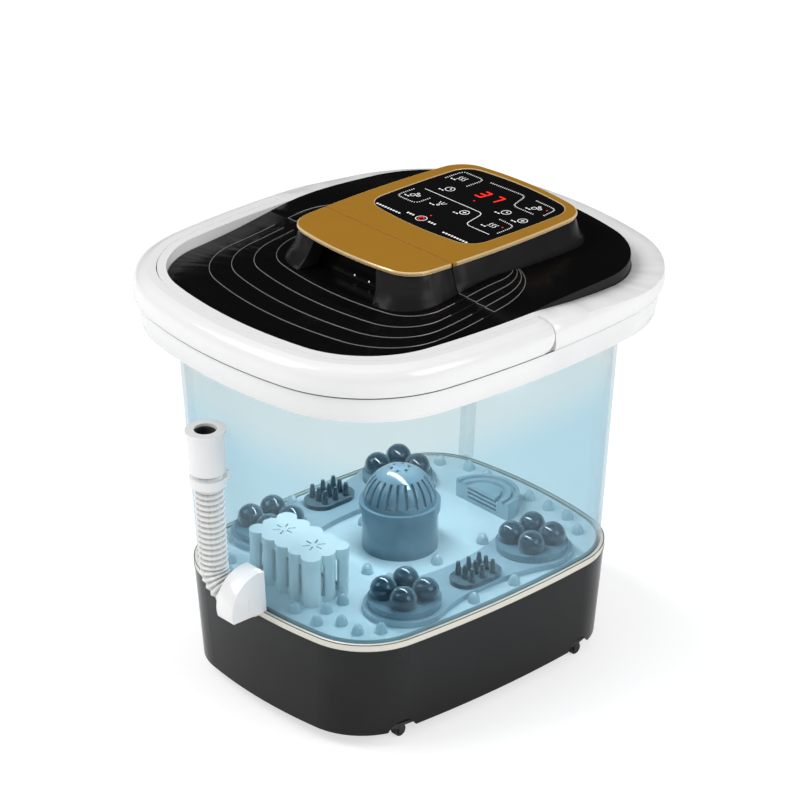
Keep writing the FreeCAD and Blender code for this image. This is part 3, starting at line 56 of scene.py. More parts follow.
WELD_GAP = 0.01 * MM
EDGE_ANGLE = math.radians(38)

logging.basicConfig(level=logging.INFO, format="%(message)s")
log = logging.getLogger("foot_spa")


class Body(Enum):
    """Bodies that a made piece rides on."""

    BASIN = "basin"
    LID = "lid"


class Station(Enum):
    """Corners that hold a massage disc and a caster."""

    FRONT_LEFT = "front_left"
    FRONT_RIGHT = "front_right"
    REAR_LEFT = "rear_left"
    REAR_RIGHT = "rear_right"


class Grain(Enum):
    """Direction in which a brushed surface is drawn out."""

    ALONG_X = (1.0, 60.0, 60.0)
    ALONG_Y = (60.0, 1.0, 60.0)


# ---------------------------------------------------------------- finishes


class ShaderSheet:
    """One material under construction, with its Principled shader at hand."""

    NOISE_SPAN = (0.3, 0.7)

    def __init__(self, name: str) -> None:
        """Starts an empty material that holds one Principled shader.

        Args:
            name: Name of the finish.
        """
        self.material = bpy.data.materials.new(name)
        self.material.use_nodes = True
        self.tree = self.material.node_tree
        self.shader = self.tree.nodes["Principled BSDF"]
        self.output = self.tree.nodes["Material Output"]
        self.place = self.tree.nodes.new("ShaderNodeTexCoord").outputs["Object"]

    def put(self, kind: str, **values: object) -> bpy.types.Node:
        """Adds a node and sets its inputs.

        Args:
            kind: Blender's node type.
            **values: Input values by name, with _ for a space.

        Returns:
            The new node.
        """
        made = self.tree.nodes.new(kind)
        for label, value in values.items():
            made.inputs[label.replace("_", " ")].default_value = value
        return made

    def join(self, start: Socket, end: Socket) -> None:
        """Links two sockets."""
        self.tree.links.new(start, end)

    def noise(self, scale: float, detail: float, stretch: Point | None = None) -> Socket:
        """Noise over the piece.

        Args:
            scale: Cells per metre.
            detail: Finer layers on top.
            stretch: Extra scale along each axis.

        Returns:
            The noise height, 0 to 1.
        """
        texture = self.put("ShaderNodeTexNoise", Scale=scale, Detail=detail)
        source = self.place
        if stretch:
            mapping = self.put("ShaderNodeMapping", Scale=stretch)
            self.join(self.place, mapping.inputs["Vector"])
            source = mapping.outputs["Vector"]
        self.join(source, texture.inputs["Vector"])
        return texture.outputs["Fac"]

    def height_of(self, vector: Socket) -> Socket:
        """Upward part of a vector.

        Args:
            vector: Socket that gives the vector.

        Returns:
            Its Z value.
        """
        parts = self.put("ShaderNodeSeparateXYZ")
        self.join(vector, parts.inputs["Vector"])
        return parts.outputs["Z"]

    def spread(self, value: Socket, start: Span, end: Span = (0.0, 1.0), smooth: bool = False) -> Socket:
        """Maps one range onto another.

        Args:
            value: Value to map.
            start: Range that it comes in.
            end: Range that it leaves in.
            smooth: True for a soft start and end.

        Returns:
            The mapped value.
        """
        low, high = end
        made = self.put("ShaderNodeMapRange", From_Min=start[0], From_Max=start[1], To_Min=low, To_Max=high)
        if smooth:
            made.interpolation_type = "SMOOTHSTEP"
        self.join(value, made.inputs["Value"])
        return made.outputs["Result"]

    def tones(self, share: Socket, first: Colour, second: Colour) -> Socket:
        """Mixes two tones.

        Args:
            share: How much of the second tone shows, 0 to 1.
            first: Tone at 0.
            second: Tone at 1.

        Returns:
            The mixed tone.
        """
        mix = self.tree.nodes.new("ShaderNodeMix")
        mix.data_type = "RGBA"
        mix.inputs["A"].default_value = (*first, 1.0)
        mix.inputs["B"].default_value = (*second, 1.0)
        self.join(share, mix.inputs["Factor"])
        return mix.outputs["Result"]

    def blend_tones(self, share: Socket, first: Colour, second: Colour) -> None:
        """Colours the shader between two tones by a share of 0 to 1."""
        self.join(self.tones(share, first, second), self.shader.inputs["Base Color"])

    def two_tone(self, height: Socket, first: Colour, second: Colour) -> None:
        """Colours the shader between two tones by a noise height."""
        self.blend_tones(self.spread(height, self.NOISE_SPAN), first, second)

    def rough(self, height: Socket, low: float, high: float) -> None:
        """Varies the shader's roughness between two values by a noise height."""
        self.join(self.spread(height, self.NOISE_SPAN, (low, high)), self.shader.inputs["Roughness"])

    def relief(self, height: Socket, depth: float, strength: float) -> None:
        """Adds a fine relief to the surface.

        Args:
            height: Height, 0 to 1.
            depth: Real depth in metres.
            strength: Share of the relief that shows.
        """
        bump = self.put("ShaderNodeBump", Distance=depth, Strength=strength)
        self.join(height, bump.inputs["Height"])
        self.join(bump.outputs["Normal"], self.shader.inputs["Normal"])

    def veil(self, under: Socket, over: Socket, cover: Socket) -> None:
        """Shows one shader over another.

        Args:
            under: Shader seen at a cover of 0.
            over: Shader seen at a cover of 1.
            cover: Share of the upper shader.
        """
        mix = self.put("ShaderNodeMixShader")
        self.join(cover, mix.inputs["Fac"])
        self.join(under, mix.inputs[1])
        self.join(over, mix.inputs[2])
        self.join(mix.outputs["Shader"], self.output.inputs["Surface"])

    def maths(self, operation: str, value: Socket, by: float) -> Socket:
        """Works out one value.

        Args:
            operation: Blender's name of the operation.
            value: First value.
            by: Second value.

        Returns:
            The result.
        """
        made = self.put("ShaderNodeMath")
        made.operation = operation
        made.inputs[1].default_value = by
        self.join(value, made.inputs[0])
        return made.outputs["Value"]

    def fixed(self, **values: object) -> None:
        """Sets constant values on the Principled shader."""
        for label, value in values.items():
            self.shader.inputs[label.replace("_", " ")].default_value = value


@dataclass(frozen=True)
class Finish:
    """A finish of the part, made as one material."""

    name: str

    def paint(self, sheet: ShaderSheet) -> None:
        """Lays the finish on an empty sheet."""
        raise NotImplementedError(self.name)

    def make(self) -> bpy.types.Material:
        """Makes the material.

        Returns:
            The material, ready for use.
        """
        sheet = ShaderSheet(self.name)
        self.paint(sheet)
        return sheet.material


@dataclass(frozen=True)
class GlossMoulding(Finish):
    """Polished injection-moulded plastic with faint flow marks and handling haze."""

    tone: Colour
    shade: Colour
    roughness: float = 0.08
    haze: float = 0.05
    coat: float = 0.3
    specular: float = 0.5
    flow_scale: float = 9.0
    haze_scale: float = 38.0
    ripple_scale: float = 420.0
    ripple_depth: float = 0.02 * MM

    def paint(self, sheet: ShaderSheet) -> None:
        """Lays the finish on a sheet.

        Args:
            sheet: Empty sheet.
        """
        sheet.two_tone(sheet.noise(self.flow_scale, 3.0), self.tone, self.shade)
        sheet.rough(sheet.noise(self.haze_scale, 4.0), self.roughness, self.roughness + self.haze)
        sheet.relief(sheet.noise(self.ripple_scale, 1.0), self.ripple_depth, 0.12)
        sheet.fixed(Coat_Weight=self.coat, Coat_Roughness=0.04, Specular_IOR_Level=self.specular)


@dataclass(frozen=True)
class LidMoulding(Finish):
    """Deep black gloss whose steep walls take a lighter black than its flats: painted sheen on the walls,
    standing in for the light they catch.
    """

    flat: Colour
    wall: Colour
    roughness: float = 0.24
    haze: float = 0.04
    specular: float = 0.1
    rise: Span = (0.35, 0.85)
    haze_scale: float = 38.0
    ripple_scale: float = 420.0
    ripple_depth: float = 0.02 * MM

    def paint(self, sheet: ShaderSheet) -> None:
        """Lays the finish on a sheet.

        Args:
            sheet: Empty sheet.
        """
        facing = sheet.height_of(sheet.put("ShaderNodeNewGeometry").outputs["Normal"])
        # Painted sheen: faces that stand upright get the lighter wall tone, flat tops the deep flat tone.
        sheet.blend_tones(sheet.spread(facing, self.rise), self.wall, self.flat)
        sheet.rough(sheet.noise(self.haze_scale, 4.0), self.roughness, self.roughness + self.haze)
        sheet.relief(sheet.noise(self.ripple_scale, 1.0), self.ripple_depth, 0.12)
        sheet.fixed(Specular_IOR_Level=self.specular)


@dataclass(frozen=True)
class GrainMoulding(Finish):
    """Matte moulded plastic or rubber with a spark-eroded grain."""

    tone: Colour
    shade: Colour
    roughness: float = 0.55
    grain: float = 1400.0
    depth: float = 0.08 * MM
    cloud_scale: float = 24.0
    wear_scale: float = 160.0

    def paint(self, sheet: ShaderSheet) -> None:
        """Lays the finish on a sheet.

        Args:
            sheet: Empty sheet.
        """
        sheet.two_tone(sheet.noise(self.cloud_scale, 4.0), self.tone, self.shade)
        sheet.rough(sheet.noise(self.wear_scale, 3.0), self.roughness - 0.06, self.roughness + 0.08)
        sheet.relief(sheet.noise(self.grain, 2.0), self.depth, 0.5)


@dataclass(frozen=True)
class RibbedSleeve(Finish):
    """Soft white plastic whose folds gather shade between the ribs."""

    crest: Colour
    fold: Colour
    sharpness: Span = (0.42, 0.53)
    roughness: Span = (0.26, 0.38)
    wear_scale: float = 160.0
    grain: float = 900.0
    depth: float = 0.04 * MM

    def paint(self, sheet: ShaderSheet) -> None:
        """Lays the finish on a sheet.

        Args:
            sheet: Empty sheet.
        """
        ridge = sheet.put("ShaderNodeNewGeometry").outputs["Pointiness"]
        sheet.blend_tones(sheet.spread(ridge, self.sharpness), self.fold, self.crest)
        sheet.rough(sheet.noise(self.wear_scale, 3.0), *self.roughness)
        sheet.relief(sheet.noise(self.grain, 2.0), self.depth, 0.4)


@dataclass(frozen=True)
class BrushedMetal(Finish):
    """Metal with fine drawn lines."""

    tone: Colour
    shade: Colour
    roughness: float = 0.28
    lay: Grain = Grain.ALONG_X
    metal: float = 1.0
    line_scale: float = 34.0
    line_depth: float = 0.01 * MM

    def paint(self, sheet: ShaderSheet) -> None:
        """Lays the finish on a sheet.

        Args:
            sheet: Empty sheet.
        """
        lines = sheet.noise(self.line_scale, 4.0, self.lay.value)
        sheet.two_tone(lines, self.tone, self.shade)
        sheet.rough(lines, self.roughness - 0.04, self.roughness + 0.08)
        sheet.relief(lines, self.line_depth, 0.25)
        sheet.fixed(Metallic=self.metal)


@dataclass(frozen=True)
class ClearWall(Finish):
    """Clear moulded wall: a tinted see-through body under a gloss that closes at grazing angles."""

    high_tone: Colour
    low_tone: Colour
    levels: Span
    skin: Colour = (0.60, 0.72, 0.78)
    skin_shade: float = 0.96
    cover: Span = (0.0, 0.8)
    edge_power: float = 3.0
    cloud_scale: float = 14.0
    wave_scale: float = 60.0
    wave_depth: float = 0.06 * MM

    def paint(self, sheet: ShaderSheet) -> None:
        """Lays the finish on a sheet.

        Args:
            sheet: Empty sheet.
        """
        level = sheet.spread(sheet.height_of(sheet.place), self.levels, smooth=True)
        body = sheet.put("ShaderNodeBsdfTransparent")
        sheet.join(sheet.tones(level, self.low_tone, self.high_tone), body.inputs["Color"])
        edge = sheet.put("ShaderNodeLayerWeight", Blend=0.5).outputs["Facing"]
        cover = sheet.spread(sheet.maths("POWER", edge, self.edge_power), (0.0, 1.0), self.cover)
        sheet.veil(body.outputs["BSDF"], sheet.shader.outputs["BSDF"], cover)
        shade = tuple(self.skin_shade * part for part in self.skin)
        sheet.two_tone(sheet.noise(self.cloud_scale, 2.0), self.skin, shade)
        sheet.relief(sheet.noise(self.wave_scale, 1.0), self.wave_depth, 0.15)
        sheet.fixed(Roughness=0.03, Specular_IOR_Level=0.6)


@dataclass(frozen=True)
class TintedMoulding(Finish):
    """See-through tinted plastic, denser at its edges."""

    tone: Colour
    shade: Colour
    face_cover: float = 0.75
    edge_cover: float = 1.0
    roughness: Span = (0.06, 0.11)
    cloud_scale: float = 26.0
    haze_scale: float = 90.0
    wave_scale: float = 180.0
    wave_depth: float = 0.08 * MM

    def paint(self, sheet: ShaderSheet) -> None:
        """Lays the finish on a sheet.

        Args:
            sheet: Empty sheet.
        """
        edge = sheet.put("ShaderNodeLayerWeight", Blend=0.4).outputs["Facing"]
        sheet.two_tone(sheet.noise(self.cloud_scale, 3.0), self.tone, self.shade)
        cover = sheet.spread(edge, (0.0, 1.0), (self.face_cover, self.edge_cover))
        sheet.join(cover, sheet.shader.inputs["Alpha"])
        sheet.rough(sheet.noise(self.haze_scale, 2.0), *self.roughness)
        sheet.relief(sheet.noise(self.wave_scale, 2.0), self.wave_depth, 0.2)
        sheet.fixed(Coat_Weight=0.6, Coat_Roughness=0.03)


@dataclass(frozen=True)
class DarkGlass(Finish):
    """Deep tinted solid plastic that bends light, with a pale rim painted towards its edge: painted
    reflection in place of a marble's bright edge.
    """

    core: Colour
    rim: Colour
    clearness: float = 0.6
    roughness: Span = (0.02, 0.06)
    haze_scale: float = 200.0
    wave_scale: float = 240.0
    wave_depth: float = 0.04 * MM

    def paint(self, sheet: ShaderSheet) -> None:
        """Lays the finish on a sheet.

        Args:
            sheet: Empty sheet.
        """
        edge = sheet.put("ShaderNodeLayerWeight", Blend=0.45)
        # Painted reflection: the base colour pales from the core tone to the rim tone as the surface turns
        # away from view.
        sheet.two_tone(edge.outputs["Facing"], self.core, self.rim)
        sheet.rough(sheet.noise(self.haze_scale, 2.0), *self.roughness)
        sheet.relief(sheet.noise(self.wave_scale, 1.0), self.wave_depth, 0.2)
        sheet.fixed(Transmission_Weight=self.clearness, IOR=1.45, Coat_Weight=0.5, Coat_Roughness=0.02)


@dataclass(frozen=True)
class LitMark(Finish):
    """Mark that glows with a slightly uneven strength: lit digits and lamps, and print with a painted glow.
    """

    tone: Colour
    glow: float
    dimming: float = 0.8
    speckle_scale: float = 900.0
    grain: float = 2400.0
    depth: float = 0.01 * MM

    def paint(self, sheet: ShaderSheet) -> None:
        """Lays the finish on a sheet.

        Args:
            sheet: Empty sheet.
        """
        dim = tuple(self.dimming * part for part in self.tone)
        sheet.two_tone(sheet.noise(self.speckle_scale, 2.0), self.tone, dim)
        sheet.relief(sheet.noise(self.grain, 1.0), self.depth, 0.2)
        sheet.fixed(Emission_Color=(*self.tone, 1.0), Emission_Strength=self.glow, Roughness=0.4)


@dataclass(frozen=True)
class FloorPaint(Finish):
    """Pale floor that keeps a soft shadow and shows white where it is lit."""

    tone: Colour = (0.93, 0.93, 0.935)
    lift: float = 0.5
    glow: float = 1.25
    cloud_scale: float = 1.2

    def paint(self, sheet: ShaderSheet) -> None:
        """Lays the finish on a sheet.

        Args:
            sheet: Empty sheet.
        """
        sheet.two_tone(sheet.noise(self.cloud_scale, 2.0), self.tone, self.tone)
        sheet.fixed(Roughness=0.9, Specular_IOR_Level=0.0)
        seen = sheet.put("ShaderNodeLightPath").outputs["Is Camera Ray"]
        glow = sheet.put("ShaderNodeEmission", Color=(1.0, 1.0, 1.0, 1.0), Strength=self.glow)
        share = sheet.maths("MULTIPLY", seen, self.lift)
        sheet.veil(sheet.shader.outputs["BSDF"], glow.outputs["Emission"], share)


class FinishShelf:
    """Every finish of the basin, made once."""

    def __init__(self) -> None:
        """Makes the materials."""
        self.black_gloss = GlossMoulding(
            "black_gloss", (0.007, 0.007, 0.0074), (0.010, 0.010, 0.0104), 0.1, 0.06, 0.0, 0.25
        ).make()
        self.lid_black_with_sheen = LidMoulding("lid_black_with_sheen", (0.003, 0.003, 0.0034), (0.022, 0.022, 0.0225)).make()
        self.grip_black = GlossMoulding(
            "grip_black", (0.002, 0.002, 0.002), (0.003, 0.003, 0.003), 0.16, 0.04, 0.0, 0.2
        ).make()
        # Light grey gloss for the beads on the lid's terrace edges: painted highlights where the black edges
        # catch the light.
        self.ridge_highlight = GlossMoulding(
            "ridge_highlight", (0.17, 0.17, 0.172), (0.22, 0.22, 0.222), 0.2, 0.08
        ).make()
        self.white_gloss = GlossMoulding(
            "white_gloss", (0.86, 0.86, 0.862), (0.83, 0.83, 0.835), 0.14, 0.08
        ).make()
        self.cream = GlossMoulding("cream_trim", (0.74, 0.71, 0.63), (0.68, 0.65, 0.57), 0.2, 0.08).make()
        self.hose = RibbedSleeve("hose_white", (0.80, 0.80, 0.80), (0.16, 0.15, 0.14)).make()
        self.black_grain = GrainMoulding("black_grain", (0.02, 0.02, 0.021), (0.03, 0.03, 0.032)).make()
        # Dark rubber finish for the pipe, seals and trim lines, also given to the dark beads and lining that
        # are painted shade.
        self.rubber = GrainMoulding("seal_rubber", (0.014, 0.014, 0.014), (0.022, 0.022, 0.022), 0.7).make()
        self.gold = BrushedMetal(
            "gold_satin", (0.53, 0.25, 0.02), (0.57, 0.28, 0.026), 0.36, Grain.ALONG_X, 0.35
        ).make()
        # Paler gold for the edge beads: real rounded edges, with their light tone a painted highlight beside
        # the satin gold.
        self.highlight_gold = BrushedMetal(
            "gold_highlight", (1.0, 0.71, 0.36), (1.0, 0.77, 0.45), 0.12, Grain.ALONG_X, 0.4
        ).make()
        self.steel = BrushedMetal("steel", (0.55, 0.55, 0.56), (0.64, 0.64, 0.65), 0.25, Grain.ALONG_Y).make()
        self.motor = BrushedMetal("motor_case", (0.30, 0.31, 0.33), (0.36, 0.37, 0.39), 0.4).make()
        self.board = GrainMoulding("board_green", (0.02, 0.13, 0.06), (0.03, 0.18, 0.08), 0.4, 700.0).make()
        self.clear_wall = ClearWall(
            "clear_wall", (0.925, 0.928, 0.915), (0.812, 0.895, 0.925), (0.235, 0.285)
        ).make()
        self.clear_part = TintedMoulding(
            "clear_part", (0.80, 0.90, 0.93), (0.86, 0.94, 0.96), 0.06, 0.7
        ).make()
        self.blue_floor = TintedMoulding("blue_floor", (0.54, 0.69, 0.76), (0.62, 0.77, 0.83), 0.9).make()
        self.zone_blue = TintedMoulding("zone_blue", (0.30, 0.43, 0.51), (0.38, 0.52, 0.60), 0.8).make()
        self.jet_blue = TintedMoulding("jet_blue", (0.26, 0.41, 0.49), (0.34, 0.50, 0.58), 0.7).make()
        self.nub_blue = TintedMoulding("nub_blue", (0.42, 0.60, 0.68), (0.55, 0.72, 0.79), 0.5).make()
        self.pale_ice = TintedMoulding("pale_ice", (0.60, 0.74, 0.79), (0.72, 0.84, 0.88), 0.85).make()
        self.blue_part = TintedMoulding("blue_part", (0.15, 0.26, 0.34), (0.22, 0.35, 0.43), 0.55).make()
        self.deep_blue = DarkGlass("deep_blue", (0.05, 0.12, 0.18), (0.45, 0.64, 0.74)).make()
        self.panel = GlossMoulding(
            "panel_black", (0.003, 0.003, 0.003), (0.004, 0.004, 0.004), 0.05, 0.03, 0.0
        ).make()
        # White print and the grip dots glow faintly of their own: painted light on print.
        self.glowing_white_ink = LitMark("glowing_white_ink", (0.85, 0.85, 0.85), 0.5).make()
        self.red_light = LitMark("red_light", (0.85, 0.015, 0.01), 1.2).make()


# ---------------------------------------------------------------- mesh helpers


@dataclass(frozen=True)
class ArcOutline:
    """Closed outline of eight tangent arcs: two sides, two ends and four corners."""

    half_width: float
    half_depth: float
    side_radius: float
    end_radius: float
    corner_radius: float
    centre_y: float = 0.0

    def grown(self, by: float) -> "ArcOutline":
        """Moves the outline outward.

        Args:
            by: Distance, in metres.

        Returns:
            The new outline.
        """
        return ArcOutline(
            self.half_width + by,
            self.half_depth + by,
            self.side_radius + by,
            self.end_radius + by,
            self.corner_radius + by,
            self.centre_y,
        )

    def points(self, per_arc: int) -> list[Span]:
        """Points once round the outline.

        Args:
            per_arc: Points on each of a quarter's three arcs.

        Returns:
            (x, y) pairs, anticlockwise from the right side.
        """
        side_x = self.half_width - self.side_radius
        end_y = self.half_depth - self.end_radius
        from_side = self.side_radius - self.corner_radius
        from_end = self.end_radius - self.corner_radius
        apart = math.hypot(side_x, end_y)
        along = (from_side**2 - from_end**2 + apart**2) / (2 * apart)
        off = math.sqrt(max(from_side**2 - along**2, 0.0))
        ux, uy = -side_x / apart, end_y / apart
        options = [
            (side_x + ux * along - uy * off * sign, uy * along + ux * off * sign) for sign in (1.0, -1.0)
        ]
        cx, cy = max(options, key=lambda spot: spot[0] + spot[1])
        turn_side = math.atan2(cy, cx - side_x)
        turn_end = math.atan2(cy - end_y, cx)
        quarter: list[Span] = []
        arcs = (
            (side_x, 0.0, self.side_radius, 0.0, turn_side),
            (cx, cy, self.corner_radius, turn_side, turn_end),
            (0.0, end_y, self.end_radius, turn_end, math.pi / 2),
        )
        for x, y, radius, start, stop in arcs:
            for step in range(per_arc):
                angle = start + (stop - start) * step / per_arc
                quarter.append((x + radius * math.cos(angle), y + radius * math.sin(angle)))
        top = (0.0, self.half_depth)
        right = quarter + [top]
        left = [(-x, y) for x, y in reversed(quarter)]
        upper = right + left
        lower = [(-x, -y) for x, y in upper[1:-1]]
        return [(x, y + self.centre_y) for x, y in upper + lower]


class Bench:
    """Makes mesh objects and puts them on their bodies."""

    @staticmethod
    def piece(name: str, mesh: bmesh.types.BMesh, body: Body, finish: bpy.types.Material, slot: str) -> None:
        """Turns a mesh under construction into a finished piece.

        Args:
            name: Piece name.
            mesh: Mesh under construction; it is freed.
            body: Body that carries the piece.
            finish: Material of the piece.
            slot: Record slot of the finish; not used.
        """
        bmesh.ops.recalc_face_normals(mesh, faces=mesh.faces)
        data = bpy.data.meshes.new(name)
        mesh.to_mesh(data)
        mesh.free()
        data.materials.append(finish)
        made = bpy.data.objects.new(name, data)
        bpy.context.scene.collection.objects.link(made)
        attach(made, body.value)
        log.info("made %s on %s", name, body.value)

    @staticmethod
    def dress(finish: bpy.types.Material, *nodes: str) -> None:
        """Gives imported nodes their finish.

        Args:
            finish: Material of the nodes.
            *nodes: Node names.
        """
        for name in nodes:
            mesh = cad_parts[name].data
            mesh.materials.clear()
            mesh.materials.append(finish)
            log.info("dressed %s with %s", name, finish.name)

    @staticmethod
    def soften(width: float, *nodes: str) -> None:
        """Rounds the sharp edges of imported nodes.

        Args:
            width: Edge rounding in metres.
            *nodes: Node names.
        """
        for name in nodes:
            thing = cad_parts[name]
            weld = thing.modifiers.new("weld", "WELD")
            weld.merge_threshold = WELD_GAP
            bevel = thing.modifiers.new("edge", "BEVEL")
            bevel.width = width
            bevel.segments = 2
            bevel.limit_method = "ANGLE"
            bevel.angle_limit = EDGE_ANGLE
            bevel.harden_normals = True

    @staticmethod
    def skin(
        mesh: bmesh.types.BMesh, first: list[bmesh.types.BMVert], second: list[bmesh.types.BMVert]
    ) -> None:
        """Joins two rings of the same count with faces.

        Args:
            mesh: Mesh under construction.
            first: Corners of one ring.
            second: Corners of the other ring.
        """
        for index in range(len(first)):
            after = (index + 1) % len(first)
            mesh.faces.new((first[index], first[after], second[after], second[index]))

    @staticmethod
    def bar(mesh: bmesh.types.BMesh, start: Point, end: Point, width: float, height: float) -> None:
        """Adds a flat bar that lies in the XY plane.

        Args:
            mesh: Mesh under construction.
            start: Middle of one end, at the underside.
            end: Middle of the other end.
            width: Width across.
            height: Thickness upward.
        """
        a, b = Vector(start), Vector(end)
        along = (b - a).normalized()
        across = Vector((-along.y, along.x, 0.0)) * (width / 2)
        up = Vector((0.0, 0.0, height))
        low = [mesh.verts.new(spot) for spot in (a - across, a + across, b + across, b - across)]
        high = [mesh.verts.new(vert.co + up) for vert in low]
        mesh.faces.new(low[::-1])
        mesh.faces.new(high)
        Bench.skin(mesh, low, high)

    @staticmethod
    def loop_tube(
        mesh: bmesh.types.BMesh, path: list[Point], radius: float, closed: bool, sides: int = 6
    ) -> None:
        """Adds a round bead along a path.

        Args:
            mesh: Mesh under construction.
            path: Points along the bead's middle.
            radius: Bead radius.
            closed: True if the path joins its own start.
            sides: Faces round the bead.
        """
        rings: list[list[bmesh.types.BMVert]] = []
        count = len(path)
        for index, spot in enumerate(path):
            before = Vector(path[index - 1] if index or closed else path[index])
            after = Vector(path[(index + 1) % count] if index + 1 < count or closed else path[index])
            along = (after - before).normalized()
            across = along.cross(Vector((0.0, 0.0, 1.0))).normalized()
            up = across.cross(along)
            ring = []
            for side in range(sides):
                angle = math.tau * side / sides
                offset = across * (radius * math.cos(angle)) + up * (radius * math.sin(angle))
                ring.append(mesh.verts.new(Vector(spot) + offset))
            rings.append(ring)
        for index in range(count if closed else count - 1):
            Bench.skin(mesh, rings[index], rings[(index + 1) % count])
        if not closed:
            mesh.faces.new(rings[0][::-1])
            mesh.faces.new(rings[-1])

    @staticmethod
    def trace(
        name: str,
        node: str,
        accept: Callable[[bmesh.types.BMEdge], bool],
        radius: float,
        body: Body,
        finish: bpy.types.Material,
        slot: str,
    ) -> None:
        """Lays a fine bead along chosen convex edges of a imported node.

        Args:
            name: Piece name.
            node: Node whose edges are followed.
            accept: True for an edge that gets the bead.
            radius: Bead radius.
            body: Body that carries the bead.
            finish: Material of the bead.
            slot: Record slot of the finish.
        """
        source = bmesh.new()
        source.from_mesh(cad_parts[node].data)
        bmesh.ops.remove_doubles(source, verts=source.verts, dist=WELD_GAP)
        source.normal_update()
        links: dict[bmesh.types.BMVert, list[bmesh.types.BMVert]] = {}
        for edge in source.edges:
            if len(edge.link_faces) == 2 and edge.is_convex and accept(edge):
                first, last = edge.verts
                links.setdefault(first, []).append(last)
                links.setdefault(last, []).append(first)
        mesh = bmesh.new()
        for path, closed in Bench.chains(links):
            if len(path) > 3:
                Bench.loop_tube(mesh, [vert.co.copy() for vert in path], radius, closed)
        source.free()
        Bench.piece(name, mesh, body, finish, slot)

    @staticmethod
    def chains(links: dict[bmesh.types.BMVert, list[bmesh.types.BMVert]]) -> list[tuple[list, bool]]:
        """Joins linked points into runs.

        Args:
            links: Neighbours of each point.

        Returns:
            Runs of points, each point used once, and whether the run closes.
        """
        left = dict(links)
        runs = []
        starts = [spot for spot, near in links.items() if len(near) == 1] + list(links)
        for start in starts:
            if start not in left:
                continue
            run = [start]
            near = left.pop(start)
            while True:
                onward = [spot for spot in near if spot in left]
                if not onward:
                    break
                run.append(onward[0])
                near = left.pop(onward[0])
            runs.append((run, len(run) > 3 and run[0] in near))
        return runs


# ---------------------------------------------------------------- sub-assemblies


@dataclass
class BaseUnit:
    """Black base with its cream strip, cover and works."""

    finishes: FinishShelf
    line_radius: float = 0.35 * MM
    level_rise: float = 0.7
    upright_rise: float = 0.3

    def dress(self) -> None:
        """Gives the base's nodes their finishes."""
        shelf = self.finishes
        Bench.dress(shelf.black_gloss, "base_shell")
        Bench.dress(shelf.black_grain, "base_plate", "power_inlet")
        Bench.dress(shelf.black_grain, "circulation_pump", "air_pump", "thermostat")
        Bench.dress(shelf.cream, "trim_band")
        Bench.dress(shelf.steel, "base_screws", "rim_screws", "heater")
        Bench.dress(shelf.rubber, "water_pipe", "shaft_seals")
        Bench.dress(shelf.board, "power_board", "control_board")
        for station in Station:
            Bench.dress(shelf.motor, f"massage_motor_{station.value}")
            Bench.dress(shelf.black_grain, f"caster_fork_{station.value}", f"caster_wheel_{station.value}")

    def on_trim_edge(self, side: float, edge: bmesh.types.BMEdge) -> bool:
        """Tells whether an edge is the strip's outer edge on one side.

        Args:
            side: 1 for the upper edge, -1 for the lower one.
            edge: Edge of the strip.

        Returns:
            True for such an edge.
        """
        level, upright = sorted(edge.link_faces, key=lambda face: -side * face.normal.z)
        middle = upright.calc_center_median()
        outward = upright.normal.x * middle.x + upright.normal.y * middle.y > 0.0
        squared = side * level.normal.z > self.level_rise and abs(upright.normal.z) < self.upright_rise
        return squared and outward

    def build(self) -> None:
        """Dresses the base and lines the strip's edges."""
        self.dress()
        rubber = self.finishes.rubber
        for name, side in (("trim_line_high", 1.0), ("trim_line_low", -1.0)):
            accept = partial(self.on_trim_edge, side)
            Bench.trace(name, "trim_band", accept, self.line_radius, Body.BASIN, rubber, "seal_rubber")


@dataclass
class TubAndFloor:
    """Clear tub with the massage floor inside."""

    finishes: FinishShelf

    def build(self) -> None:
        """Dresses the tub and everything on its floor."""
        shelf = self.finishes
        Bench.dress(shelf.clear_wall, "tub_shell")
        Bench.dress(shelf.blue_floor, "footbed")
        Bench.dress(shelf.zone_blue, "foot_zones")
        Bench.dress(shelf.jet_blue, "jet_cover")
        Bench.dress(shelf.nub_blue, "floor_nubs")
        Bench.dress(shelf.blue_part, "dome_housing", "dome_grille")
        Bench.dress(shelf.deep_blue, "acupressure_pad_left", "acupressure_pad_right")
        Bench.dress(shelf.pale_ice, "herb_box", "herb_box_cover")
        Bench.dress(shelf.clear_part, "wiring_duct")
        for station in Station:
            Bench.dress(shelf.blue_part, f"massage_disc_{station.value}")
            Bench.dress(shelf.deep_blue, f"massage_balls_{station.value}")


